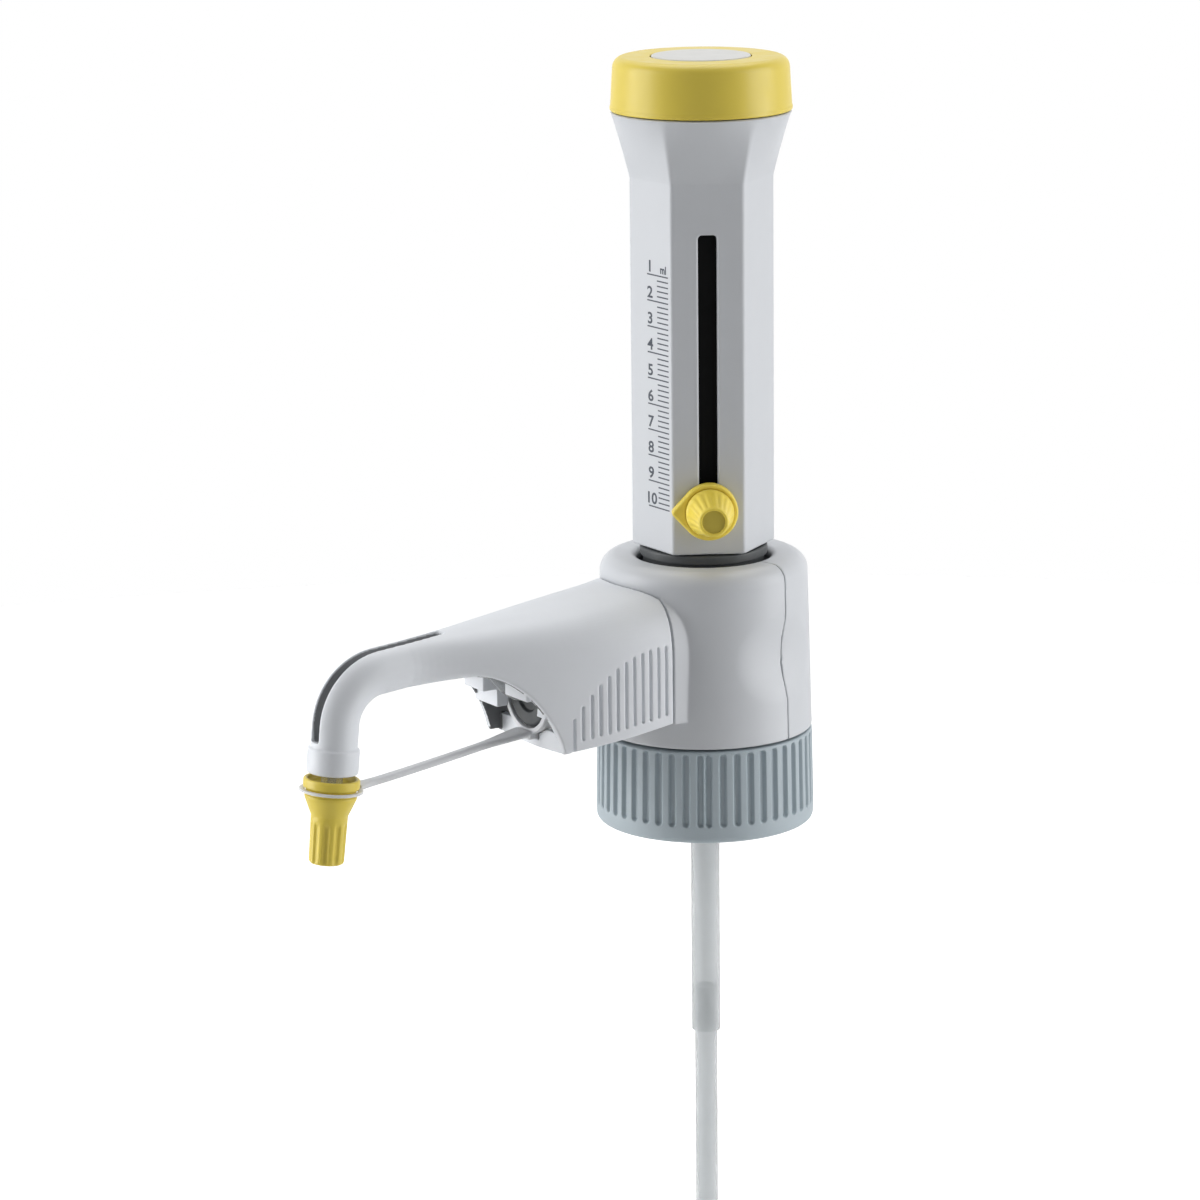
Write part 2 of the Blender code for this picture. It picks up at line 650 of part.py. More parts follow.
def threaded_ring(finish, parent):
    """Ribbed screw ring: grooves with closed lower ends, a smooth foot band and a trapped collar."""
    foot_z = RING_TOP_Z - RING_HEIGHT
    band_z = foot_z + RING_BAND_HEIGHT
    half_turn = 0.5 * GRIP_GROOVE_WIDTH / RING_RADIUS
    sunk = GRIP_GROOVE_DEPTH
    rows = [(RING_FOOT_RADIUS - RING_FOOT_ROUND, foot_z, 0),
            (RING_FOOT_RADIUS, foot_z + RING_FOOT_ROUND, 0),
            (RING_FOOT_RADIUS, band_z, 0),
            (RING_FOOT_RADIUS, band_z + sunk, sunk),
            (RING_RADIUS, RING_TOP_Z - EDGE, sunk), (RING_RADIUS - EDGE, RING_TOP_Z, 0)]
    rings = []
    for radius, z, depth in rows:
        ring = []
        for middle in grip_groove_angles():
            for angle, reach in ((middle - half_turn, radius), (middle, radius - depth),
                                 (middle + half_turn, radius)):
                ring.append((reach * math.cos(angle), reach * math.sin(angle), z))
        rings.append(ring)
    outer = cutter("ring_outer_tool", skin(rings))
    collar_bore = RING_BORE_RADIUS - RING_COLLAR_OVERLAP
    collar_z = RING_TOP_Z - RING_COLLAR_THICKNESS
    above, below, beyond = RING_TOP_Z + OVERSHOOT, foot_z - OVERSHOOT, RING_RADIUS + OVERSHOOT
    ring_body = revolve([(collar_bore, above), (beyond, above), (beyond, below), (RING_BORE_RADIUS, below),
                         (RING_BORE_RADIUS, collar_z), (collar_bore, collar_z)])
    ring = solid("threaded_ring", ring_body, finish, parent)
    boolean(ring, outer, 'INTERSECT')


def valve_core(finish, parent):
    """Inner valve body with the lip seat, the cylinder socket and the two valve sockets."""
    neck = RING_BORE_RADIUS - RING_COLLAR_OVERLAP - TOUCH_GAP
    flange = RING_BORE_RADIUS - 2 * TOUCH_GAP
    flange_top = RING_TOP_Z - RING_COLLAR_THICKNESS - TOUCH_GAP
    socket = GLASS_OUTER_RADIUS + TOUCH_GAP
    glass_seat = GLASS_BOTTOM_Z - TOUCH_GAP
    passage = BALL_RADIUS + CORE_PASSAGE_ROOM
    filling = FILLING_SOCKET_RADIUS + TOUCH_GAP
    washer_land = FILLING_SOCKET_RADIUS + FILLING_FLANGE_WIDTH + TOUCH_GAP
    lip_seat = flange - LIP_SEAT_WIDTH
    outline = [(filling, 0), (washer_land, 0), (washer_land, LIP_SEAT_RELIEF), (lip_seat, LIP_SEAT_RELIEF),
               (lip_seat, 0), (flange, 0), (flange, flange_top), (neck, flange_top),
               (neck, BLOCK_BOTTOM_Z), (CORE_RADIUS, BLOCK_BOTTOM_Z), (CORE_RADIUS, CORE_TOP_Z),
               (socket, CORE_TOP_Z), (socket, glass_seat), (passage, glass_seat),
               (passage, FILLING_SOCKET_TOP_Z), (filling, FILLING_SOCKET_TOP_Z)]
    core = solid("valve_core", revolve(outline, INNER_STEPS), finish, parent)
    forward = (0, -math.pi / 2, 0)
    seat = DISCHARGE_SEAT_REACH - TOUCH_GAP
    thread = rod(DISCHARGE_THREAD_RADIUS + TOUCH_GAP, seat, CORE_RADIUS + OVERSHOOT)
    boolean(core, cutter("discharge_socket_tool", thread, parent, (0, 0, DISCHARGE_Z), forward))
    passage = rod(BALL_RADIUS, 0, seat + EDGE)
    boolean(core, cutter("discharge_passage_tool", passage, parent, (0, 0, DISCHARGE_Z), forward))


def block_covers(finish, parent):
    """Front cover with the arched flange for the arm, and rear cover with the vent opening."""
    half_gap = math.degrees(0.5 * SEAM_GAP / BLOCK_RADIUS)
    profile = cover_profile()
    dimples = dimple_tools()
    front_start = SEAM_ANGLE + half_gap
    front_sweep = FULL_TURN - 2 * front_start
    front = sector(profile, front_start, front_sweep, round(ROUND_STEPS * front_sweep / 360))
    front = solid("front_cover", front, finish, parent)
    arch = arm_crown(ARM_HALF_WIDTH, ARM_CROWN_HEIGHT, ARM_CROWN_POWER, ARM_TOP_Z - ARM_CROWN_HEIGHT)
    arch += [(-ARM_HALF_WIDTH, ARM_FOOT_Z), (ARM_HALF_WIDTH, ARM_FOOT_Z)]
    face = ARM_START - FLANGE_GAP
    boss = prism(arch, (face - FLANGE_THICKNESS - OVERSHOOT, face), ((0, 1, 0), (0, 0, 1), (-1, 0, 0)))
    boss = cutter("flange_boss_tool", boss)
    bore = revolve([(0, BLOCK_BOTTOM_Z - OVERSHOOT), (COVER_INNER_RADIUS, BLOCK_BOTTOM_Z - OVERSHOOT),
                    (COVER_INNER_RADIUS, BLOCK_TOP_Z - BLOCK_SHOULDER_RADIUS),
                    (BLOCK_LIP_RADIUS, BLOCK_TOP_Z - COVER_WALL), (0, BLOCK_TOP_Z - COVER_WALL)],
                   ring=False)
    boolean(boss, cutter("flange_bore_tool", bore))
    boolean(front, boss, 'UNION')
    boolean(front, dimples)
    port = rod(DISCHARGE_THREAD_RADIUS + 2 * TOUCH_GAP, CORE_RADIUS - OVERSHOOT, BLOCK_RADIUS + OVERSHOOT)
    boolean(front, cutter("port_tool", port, parent, (0, 0, DISCHARGE_Z), (0, -math.pi / 2, 0)))
    rear_sweep = 2 * (SEAM_ANGLE - half_gap)
    rear = sector(profile, -rear_sweep / 2, rear_sweep, round(ROUND_STEPS * rear_sweep / 360))
    rear = solid("rear_cover", rear, finish, parent)
    boolean(rear, dimples)
    vent = rod(VENT_PLUG_RADIUS + TOUCH_GAP, CORE_RADIUS - OVERSHOOT, BLOCK_RADIUS + OVERSHOOT)
    boolean(rear, cutter("vent_tool", vent, parent, (0, 0, VENT_PLUG_Z), (0, math.pi / 2, 0)))


def vent_plug(finish, parent):
    """Round stopper of the air vent at the back of the block."""
    reach = BLOCK_RADIUS - CORE_RADIUS - TOUCH_GAP
    face = reach + EDGE
    hole_z = face - VENT_HOLE_DEPTH
    outline = [(0, 0), (VENT_PLUG_RADIUS, 0), (VENT_PLUG_RADIUS, reach), (VENT_PLUG_RADIUS - EDGE, face),
               (VENT_HOLE_RADIUS, face), (VENT_HOLE_RADIUS, hole_z), (0, hole_z)]
    solid("vent_plug", revolve(outline, SMALL_STEPS, ring=False), finish, parent,
          (CORE_RADIUS + TOUCH_GAP, 0, VENT_PLUG_Z), (0, math.pi / 2, 0))


def dosing_unit(finishes, parent):
    """Glass cylinder, black guide sleeve with the pointer groove, and the safety ring below them."""
    glass = revolve([(GLASS_BORE_RADIUS, GLASS_BOTTOM_Z), (GLASS_OUTER_RADIUS, GLASS_BOTTOM_Z),
                     (GLASS_OUTER_RADIUS, GLASS_TOP_Z), (GLASS_BORE_RADIUS, GLASS_TOP_Z)], INNER_STEPS)
    solid("glass_cylinder", glass, finishes["glass"], parent)
    stop_z = POINTER_REST_Z + PISTON_STROKE + POINTER_TOOTH_HEIGHT / 2 + TOUCH_GAP
    guide_top = stop_z + GUIDE_TOP_MARGIN
    foot = CORE_TOP_Z + TOUCH_GAP
    guide = revolve([(GUIDE_INNER_RADIUS, foot), (GUIDE_OUTER_RADIUS, foot), (GUIDE_OUTER_RADIUS, guide_top),
                     (GUIDE_INNER_RADIUS, guide_top)], INNER_STEPS)
    guide = solid("guide_sleeve", guide, finishes["black"], parent)
    half = POINTER_TOOTH_WIDTH / 2 + 2 * TOUCH_GAP
    groove_low = POINTER_REST_Z - POINTER_TOOTH_HEIGHT / 2 - TOUCH_GAP
    groove = block((GUIDE_INNER_RADIUS - OVERSHOOT, -half, groove_low),
                   (GUIDE_OUTER_RADIUS + OVERSHOOT, half, stop_z))
    groove = cutter("groove_tool", groove, parent, rotation=(0, 0, math.radians(SLOT_FACET_ANGLE)))
    boolean(guide, groove)
    bore = GUIDE_OUTER_RADIUS + TOUCH_GAP
    top = CASING_BOTTOM_Z - TOUCH_GAP
    lip = BLOCK_LIP_RADIUS - SAFETY_RING_LIP
    neck = top - SAFETY_RING_LIP
    ring = revolve([(bore, foot), (lip, foot), (lip, neck), (SAFETY_RING_RADIUS, neck),
                    (SAFETY_RING_RADIUS, top - FINE_EDGE), (SAFETY_RING_RADIUS - FINE_EDGE, top),
                    (bore, top)], INNER_STEPS)
    solid("safety_ring", ring, finishes["dark"], parent)


def casing_sleeve(finish, parent):
    """Hexagonal sleeve that flares to a round rim, hollow, with the web that holds the rod."""
    flare_z = CASING_TOP_Z - FLARE_HEIGHT
    edge_radius = hex_radius(HALF_FACET, CASING_APOTHEM, CASING_CORNER_ROUND)
    rings = [casing_ring(CASING_BOTTOM_Z, CASING_APOTHEM - EDGE, CASING_CORNER_ROUND),
             casing_ring(CASING_BOTTOM_Z + EDGE, CASING_APOTHEM, CASING_CORNER_ROUND)]
    for step in range(FLARE_STEPS + 1):
        share = step / FLARE_STEPS
        circle = edge_radius + (FLARE_RADIUS - edge_radius) * math.sin(0.5 * math.pi * share)
        rings.append(casing_ring(flare_z + FLARE_HEIGHT * share, CASING_APOTHEM, CASING_CORNER_ROUND,
                                 circle, share))

    inner_corner = CASING_CORNER_ROUND / 2
    seat_z = CASING_TOP_Z - CAP_SPIGOT_LENGTH - TOUCH_GAP
    web_z = WEB_TOP_Z - WEB_THICKNESS
    for z, circle in ((CASING_TOP_Z, FLARE_RADIUS - CASING_WALL), (seat_z, CAP_SPIGOT_RADIUS + TOUCH_GAP),
                      (WEB_TOP_Z, CASING_INNER_APOTHEM), (WEB_TOP_Z, ROD_RADIUS + TOUCH_GAP),
                      (web_z, ROD_RADIUS + TOUCH_GAP)):
        rings.append(casing_ring(z, CASING_INNER_APOTHEM, inner_corner, circle, 1.0))
    rings += [casing_ring(web_z, CASING_INNER_APOTHEM, inner_corner),
              casing_ring(CASING_BOTTOM_Z, CASING_INNER_APOTHEM, inner_corner)]
    casing = solid("casing_sleeve", skin(rings, closed=True), finish, parent)

    half = SLOT_WIDTH / 2
    low = POINTER_REST_Z - POINTER_TOOTH_HEIGHT / 2 - SLOT_END_ROOM
    side, shelf = half - SLOT_CORNER_ROUND, SLOT_TOP_Z - SLOT_CORNER_ROUND
    outline = (arc((0, low + half), half, 180, 360, 8) + arc((side, shelf), SLOT_CORNER_ROUND, 0, 90, 3)
               + arc((-side, shelf), SLOT_CORNER_ROUND, 90, 180, 3))
    slot = prism(outline, (CASING_INNER_APOTHEM - OVERSHOOT, CASING_APOTHEM + OVERSHOOT),
                 ((0, 1, 0), (0, 0, 1), (1, 0, 0)))
    slot = cutter("slot_tool", slot, parent, rotation=(0, 0, math.radians(SLOT_FACET_ANGLE)))
    boolean(casing, slot)


def piston_set(finishes, parent):
    """Piston, its lip seal, the rod and the coupling and calibration nuts at the casing's web."""
    seal_top = PISTON_BOTTOM_Z + SEAL_LENGTH
    lip = PISTON_RADIUS - EDGE
    seal = revolve([(0, PISTON_BOTTOM_Z), (lip, PISTON_BOTTOM_Z), (PISTON_RADIUS, PISTON_BOTTOM_Z + EDGE),
                    (PISTON_RADIUS, seal_top - 2 * EDGE), (lip, seal_top), (0, seal_top)],
                   SMALL_STEPS, ring=False)
    solid("piston_seal", seal, finishes["seal"], parent)
    body_z = seal_top + TOUCH_GAP
    wall = PISTON_RADIUS - RUNNING_GAP
    spigot = ROD_RADIUS - ROD_SCREW_STEP
    socket = spigot + TOUCH_GAP
    socket_z = PISTON_TOP_Z - ROD_SCREW_LENGTH
    piston = revolve([(0, body_z), (wall, body_z), (wall, PISTON_TOP_Z), (socket, PISTON_TOP_Z),
                      (socket, socket_z), (0, socket_z)], SMALL_STEPS, ring=False)
    solid("piston", piston, finishes["seal"], parent)
    foot, step_z, rod_top = socket_z + TOUCH_GAP, PISTON_TOP_Z + TOUCH_GAP, WEB_TOP_Z + ROD_END_LENGTH
    piston_rod = revolve([(0, foot), (spigot, foot), (spigot, step_z), (ROD_RADIUS, step_z),
                          (ROD_RADIUS, rod_top), (0, rod_top)], SMALL_STEPS, ring=False)
    solid("piston_rod", piston_rod, finishes["steel"], parent)
    corners = (math.tau * corner / 6 for corner in range(6))
    hexagon = [(NUT_RADIUS * math.cos(angle), NUT_RADIUS * math.sin(angle)) for angle in corners]
    nut_z = WEB_TOP_Z + TOUCH_GAP
    coupling_z = WEB_TOP_Z - WEB_THICKNESS - TOUCH_GAP - ROD_COUPLING_HEIGHT
    for name, low, height, finish in (("calibration_nut", nut_z, CALIBRATION_NUT_HEIGHT, "brass"),
                                      ("rod_coupling", coupling_z, ROD_COUPLING_HEIGHT, "dark")):
        nut = solid(name, prism(hexagon, (low, low + height), WORLD_PLANES), finishes[finish], parent)
        hole = rod(ROD_RADIUS + TOUCH_GAP, low - OVERSHOOT, low + height + OVERSHOOT)
        boolean(nut, cutter(name + "_bore_tool", hole, parent))


def casing_cap(finishes, parent):
    """Round cap that closes the casing, with the disc let into its top."""
    low = CASING_TOP_Z + TOUCH_GAP
    top = low + CAP_HEIGHT
    round_centre = (CAP_TOP_RADIUS - CAP_EDGE_RADIUS, top - CAP_EDGE_RADIUS)
    pocket = DISC_RADIUS + TOUCH_GAP
    disc_top = top + DISC_PROUD
    disc_low = disc_top - DISC_THICKNESS
    floor = disc_low - TOUCH_GAP
    spigot_z = low - CAP_SPIGOT_LENGTH
    hollow = CAP_SPIGOT_RADIUS - CAP_WALL
    profile = [(0, floor), (pocket, floor), (pocket, top)]
    profile += arc(round_centre, CAP_EDGE_RADIUS, 90, 0, SHOULDER_STEPS)
    profile += [(CAP_RADIUS, low + FINE_EDGE), (CAP_RADIUS - FINE_EDGE, low), (CAP_SPIGOT_RADIUS, low),
                (CAP_SPIGOT_RADIUS, spigot_z), (hollow, spigot_z), (hollow, floor - CAP_WALL),
                (0, floor - CAP_WALL)]
    solid("casing_cap", revolve(profile, ring=False), finishes["yellow"], parent)
    disc = [(0, disc_low), (DISC_RADIUS, disc_low), (DISC_RADIUS, disc_top - FINE_EDGE),
            (DISC_RADIUS - FINE_EDGE, disc_top), (0, disc_top)]
    solid("cap_disc", revolve(disc, ring=False), finishes["grey"], parent)


def toothed_track(finish, parent):
    """Fine rack beside the slot, inside the casing, that the pointer clamps against."""
    low = POINTER_REST_Z - POINTER_RADIUS
    inner = SLOT_WIDTH / 2 + TOUCH_GAP
    face = CASING_INNER_APOTHEM - TOUCH_GAP
    count = int((POINTER_TRAVEL + 2 * POINTER_RADIUS) / TRACK_PITCH)
    outline = [(face, low), (face, low + count * TRACK_PITCH)]
    back = face - TRACK_THICKNESS
    for tooth in reversed(range(count)):
        base = low + tooth * TRACK_PITCH
        outline += [(back, base + TRACK_PITCH), (back - TRACK_TOOTH, base + 0.5 * TRACK_PITCH)]
    outline.append((back, low))
    rack = prism(outline, (inner, inner + TRACK_WIDTH), ((1, 0, 0), (0, 0, 1), (0, 1, 0)))
    solid("toothed_track", rack, finish, parent, rotation=(0, 0, math.radians(SLOT_FACET_ANGLE)))


def volume_pointer(finish, parent):
    """Teardrop plate on the slot facet, with its stem and the stop inside the guide groove."""
    tip_angle = math.degrees(math.acos(POINTER_RADIUS / POINTER_TIP))
    outline = arc((0, 0), POINTER_RADIUS, 180 + tip_angle, 540 - tip_angle, 24)
    blunt = POINTER_TIP_ROUND / math.tan(math.radians(tip_angle))
    outline += [(POINTER_TIP_ROUND - POINTER_TIP, blunt), (POINTER_TIP_ROUND - POINTER_TIP, -blunt)]
    plate = prism(outline, (TOUCH_GAP, TOUCH_GAP + POINTER_THICKNESS), WORLD_PLANES)
    edges = [edge for edge in plate.edges
             if all(vert.co.z > TOUCH_GAP + 0.5 * POINTER_THICKNESS for vert in edge.verts)]
    bmesh.ops.bevel(plate, geom=edges, offset=EDGE, segments=1, affect='EDGES')
    pointer = solid("volume_pointer", plate, finish, parent)
    half_w, half_h = POINTER_TOOTH_WIDTH / 2, POINTER_TOOTH_HEIGHT / 2
    stop = GUIDE_INNER_RADIUS + TOUCH_GAP - CASING_APOTHEM
    stem = block((-half_w, -half_h, stop), (half_w, half_h, TOUCH_GAP + EDGE))
    boolean(pointer, cutter("pointer_stem_tool", stem, parent), 'UNION')
    boolean(pointer, cutter("pointer_wing_tool", pointer_wing(), parent), 'UNION')
    hole = rod(POINTER_HOLE_RADIUS, SCREW_TIP_Z - TOUCH_GAP, POINTER_THICKNESS + OVERSHOOT)
    boolean(pointer, cutter("pointer_hole_tool", hole, parent))


def pointer_wing():
    """Clamp wings behind the casing wall on each side of the slot, clear of the rack and the guide."""
    out = -CASING_WALL - 2 * TOUCH_GAP - TRACK_THICKNESS - TRACK_TOOTH
    half = SLOT_WIDTH / 2 + TOUCH_GAP + 0.6 * TRACK_WIDTH
    height = POINTER_TOOTH_HEIGHT / 2
    return block((-half, -height, out - POINTER_WING_THICKNESS), (half, height, out))


def thumb_screw(finish, parent):
    """Tapered clamping screw with grip ribs and a dimpled end."""
    base = 2 * TOUCH_GAP + POINTER_THICKNESS
    end = base + SCREW_LENGTH
    collar = base + SCREW_COLLAR_LENGTH
    rows = ((SCREW_BASE_RADIUS, base, 0), (SCREW_BASE_RADIUS, collar, 0),
            (SCREW_BASE_RADIUS - EDGE, collar + EDGE, SCREW_RIB_DEPTH),
            (SCREW_END_RADIUS, end - EDGE, SCREW_RIB_DEPTH), (SCREW_END_RADIUS - EDGE, end, 0),
            (SCREW_END_DIMPLE, end, 0), (SCREW_END_DIMPLE - EDGE, end - EDGE, 0))
    screw = solid("thumb_screw", fluted(rows, SCREW_RIBS), finish, parent)
    shank = rod(SCREW_SHANK_RADIUS, SCREW_TIP_Z, collar)
    boolean(screw, cutter("screw_shank_tool", shank, parent), 'UNION')


def discharge_housing(finish, parent, nozzle_axis):
    """Moulded arm: arched root, open stepped recess, round elbow with its channel, and the collar."""
    root, span = RECESS_START - ARM_START, RECESS_END - RECESS_START
    reaches = [ARM_START + root * step / ROOT_STEPS for step in range(ROOT_STEPS)]
    for step in range(RECESS_STEPS + 1):
        reaches.append(RECESS_START + span * (1 - math.cos(math.pi / 2 * step / RECESS_STEPS)))
    reaches.append(0.5 * (RECESS_END + ARM_ELBOW_START))
    rings = [arm_ring(reach) for reach in reaches]
    for step in range(BEND_STEPS + 1):
        share = step / BEND_STEPS
        thin = COLLAR_WAIST * max(0.0, (share - 0.6) / 0.4)
        rings.append(elbow_ring(ELBOW_TURN * share, ARM_TUBE_RADIUS - thin, thin))
    rings += [elbow_ring(ELBOW_TURN, ARM_TUBE_RADIUS - COLLAR_WAIST, COLLAR_WAIST, FINE_EDGE),
              elbow_ring(ELBOW_TURN, COLLAR_RADIUS, 0.0, FINE_EDGE + COLLAR_WAIST),
              elbow_ring(ELBOW_TURN, COLLAR_RADIUS, 0.0, COLLAR_LENGTH - FINE_EDGE),
              elbow_ring(ELBOW_TURN, COLLAR_RADIUS - FINE_EDGE, 0.0, COLLAR_LENGTH)]
    body = skin(rings)
    bmesh.ops.triangulate(body, faces=body.faces)
    housing = solid("discharge_housing", body, finish, parent)
    cut_recess(housing, parent)

    bore = [point for point in tube_path() if point.x < -RECESS_FRONT_END + OVERSHOOT]
    bore.append(bore[-1] + NOZZLE_DOWN * EDGE)
    boolean(housing, cutter("tube_bore_tool", tube_along(bore, DISCHARGE_TUBE_RADIUS + TOUCH_GAP), parent))
    boolean(housing, cutter("channel_tool", channel_body(), parent))
    nozzle_bore = rod(NOZZLE_RADIUS + TOUCH_GAP, -OVERSHOOT, COLLAR_LENGTH - EDGE)
    boolean(housing, cutter("nozzle_bore_tool", nozzle_bore, nozzle_axis))
    boolean(housing, cutter("groove_row_tool", groove_bodies(), parent))
    boolean(housing, cutter("block_trim_tool", block_form(2 * TOUCH_GAP), parent))


def inside(reach):
    """Plan point on the inner face of the arm's side wall."""
    return reach, arm_width(reach) - ARM_WALL


def cut_recess(housing, parent):
    """Hollow the arm from below, put the steps in and leave a way for the tube between them."""
    stair_end = STAIR_START + 2 * STAIR_RUN
    root = [inside(ARM_START), inside(0.5 * (ARM_START + STAIR_START)), inside(STAIR_START)]
    root[0] = (ARM_START - OVERSHOOT, root[0][1])
    ceiling = DISCHARGE_Z + DISCHARGE_BODY_RADIUS + RECESS_CROWN_ROOM
    boolean(housing, cutter("recess_root_tool", plan_body(root, ceiling), parent))
    front = [inside(stair_end + TOUCH_GAP), inside(RECESS_FRONT_END)]
    boolean(housing, cutter("recess_front_tool", plan_body(front, RECESS_FRONT_CEILING_Z), parent))
    boolean(housing, cutter("stair_tool", stair_bodies(), parent), 'UNION')
    middle = [(STAIR_START - OVERSHOOT, TUBE_WAY_HALF_WIDTH), (RECESS_FRONT_END, TUBE_WAY_HALF_WIDTH)]
    boolean(housing, cutter("tube_way_tool", plan_body(middle, TUBE_WAY_CEILING_Z), parent))
    boolean(housing, cutter("cross_wall_tool", cross_wall_body(), parent), 'UNION')
    clip_radius = DISCHARGE_BODY_RADIUS + CLIP_WALL + 2 * TOUCH_GAP
    clip_room = rod(clip_radius, RECESS_START - CLIP_LENGTH, RECESS_START + TOUCH_GAP, INNER_STEPS)
    boolean(housing, cutter("clip_room_tool", clip_room, parent, (0, 0, DISCHARGE_Z), (0, -math.pi / 2, 0)))


def plan_body(half_widths, high):
    """Upright body below a ceiling, with the given half widths at each reach along the arm."""
    far = [(reach, -half) for reach, half in reversed(half_widths)]
    return prism(half_widths + far, (-OVERSHOOT, high), ARM_PLAN_PLANES)


def stair_bodies():
    """Two stepped blocks inside the recess, one on each side of the tube."""
    top = RECESS_FRONT_CEILING_Z
    middle, end = STAIR_START + STAIR_RUN, STAIR_START + 2 * STAIR_RUN
    tread = STAIR_FOOT_Z + STAIR_RISE
    outline = [(STAIR_START, top), (STAIR_START, STAIR_FOOT_Z), (middle, STAIR_FOOT_Z), (middle, tread),
               (end, tread), (end, top)]
    inner, outer = TUBE_WAY_HALF_WIDTH - TOUCH_GAP, arm_width(end) - 0.4 * ARM_WALL
    return merge([prism(outline, (side * inner, side * outer), ARM_SIDE_PLANES) for side in (-1, 1)])


def cross_wall_body():
    """Low wall between the two side walls under the valve body, bowed at its foot and cut out for the tab."""
    end = RECESS_START - TOUCH_GAP
    half = arm_width(end) - 0.4 * ARM_WALL
    foot = arm_bottom(end) + TOUCH_GAP
    top = foot + CROSS_WALL_HEIGHT
    notch = CLIP_TAB_WIDTH / 2 + TOUCH_GAP
    notch_z = foot + CROSS_WALL_LAND
    outline = [(-half, top), (-half, foot), (-half / 2, foot - CROSS_WALL_BOW), (half / 2, foot - CROSS_WALL_BOW),
               (half, foot), (half, top), (notch, top), (notch, notch_z), (-notch, notch_z), (-notch, top)]
    return prism(outline, (end - CROSS_WALL_THICKNESS, end), ((0, 1, 0), (0, 0, 1), (-1, 0, 0)))


def channel_body():
    """Body of the open channel that runs over the top of the elbow down to the collar."""
    side = SIDEWAYS * CHANNEL_WIDTH / 2
    low, high = ARM_TUBE_RADIUS - CHANNEL_DEPTH, ARM_TUBE_RADIUS + OVERSHOOT
    steps = BEND_STEPS + 2
    edges = [(Vector((-CHANNEL_START, 0, ARM_AXIS_Z + low)), Vector((-CHANNEL_START, 0, ARM_AXIS_Z + high)))]
    for step in range(steps + 1):
        turn = (ELBOW_TURN - CHANNEL_END_TURN) * step / steps
        edges.append((elbow_point(turn, low), elbow_point(turn, high)))
    return skin([[inner + side, outer + side, outer - side, inner - side] for inner, outer in edges])


def groove_bodies():
    """Grip grooves on both side walls near the flange, rising in a curve toward the block."""
    bodies = []
    for index in range(GROOVE_COUNT):
        reach = ARM_START + GROOVE_START + index * GROOVE_PITCH
        top = GROOVE_TOP_Z - (reach - GROOVE_ARC_REACH) ** 2 / (2 * GROOVE_ARC_RADIUS)
        low = arm_bottom(reach) + (GROOVE_LAND if index < GROOVE_COUNT - 1 else -OVERSHOOT)
        near, far = reach - GROOVE_WIDTH / 2, reach + GROOVE_WIDTH / 2
        outline = [(near, low), (far, low), (far, top), (near, top)]
        depth = arm_width(reach) - GROOVE_DEPTH
        bodies += [prism(outline, (side * depth, side * (depth + OVERSHOOT)), ARM_SIDE_PLANES)
                   for side in (-1, 1)]
    return merge(bodies)


def discharge_valve(finishes, parent):
    """Valve body screwed into the core, with its spring; the ball rides on its own axis."""
    seat, end = DISCHARGE_SEAT_REACH, DISCHARGE_BODY_END
    shoulder = BLOCK_RADIUS + 2 * TOUCH_GAP
    chamber = BALL_RADIUS + 2 * TOUCH_GAP
    tube = DISCHARGE_TUBE_RADIUS + TOUCH_GAP
    socket = end - DISCHARGE_TUBE_SOCKET
    seat_floor = seat + SEAT_WALL
    outline = [(VALVE_BORE_RADIUS, seat), (DISCHARGE_THREAD_RADIUS, seat),
               (DISCHARGE_THREAD_RADIUS, shoulder),
               (DISCHARGE_BODY_RADIUS, shoulder), (DISCHARGE_BODY_RADIUS, end - EDGE),
               (DISCHARGE_BODY_RADIUS - EDGE, end), (tube, end), (tube, socket), (VALVE_BORE_RADIUS, socket),
               (VALVE_BORE_RADIUS, DISCHARGE_CHAMBER_END), (chamber, DISCHARGE_CHAMBER_END),
               (chamber, seat_floor + SEAT_DEPTH), (VALVE_BORE_RADIUS, seat_floor)]
    axis = empty("discharge_axis", parent, (0, 0, DISCHARGE_Z), (0, -math.pi / 2, 0))
    solid("discharge_valve_body", revolve(outline, INNER_STEPS), finishes["dark"], axis)
    ball("discharge_ball", finishes["ceramic"], axis, seat_floor + BALL_SEAT_RISE)
    start = seat_floor + BALL_SEAT_RISE + BALL_RADIUS + BALL_LIFT
    length = DISCHARGE_CHAMBER_END - TOUCH_GAP - SPRING_WIRE_RADIUS - start
    steps = SPRING_TURNS * SPRING_STEPS
    coil = []
    for step in range(steps + 1):
        turn = math.tau * step / SPRING_STEPS
        coil.append(Vector((SPRING_RADIUS * math.cos(turn), SPRING_RADIUS * math.sin(turn),
                            start + length * step / steps)))
    solid("valve_spring", coil_body(coil, SPRING_WIRE_RADIUS), finishes["steel"], axis)


def ball(name, finish, parent, height):
    """Valve ball on its seat."""
    bm = bmesh.new()
    bmesh.ops.create_icosphere(bm, subdivisions=2, radius=BALL_RADIUS)
    solid(name, bm, finish, parent, (0, 0, height))


def discharge_tube(finish, parent):
    """Thin tube that carries the liquid from the valve to the nozzle."""
    solid("discharge_tube", tube_along(tube_path(), DISCHARGE_TUBE_RADIUS), finish, parent)


def nozzle_tip(finish, frame):
    """Outlet stub under the collar."""
    top = COLLAR_LENGTH - EDGE - TOUCH_GAP
    outline = [(NOZZLE_BORE_RADIUS, -NOZZLE_LENGTH), (NOZZLE_RADIUS - EDGE, -NOZZLE_LENGTH),
               (NOZZLE_RADIUS, 2 * EDGE - NOZZLE_LENGTH), (NOZZLE_RADIUS, top), (DISCHARGE_TUBE_RADIUS, top),
               (NOZZLE_BORE_RADIUS, top - EDGE)]
    solid("nozzle_tip", revolve(outline, SMALL_STEPS), finish, frame)


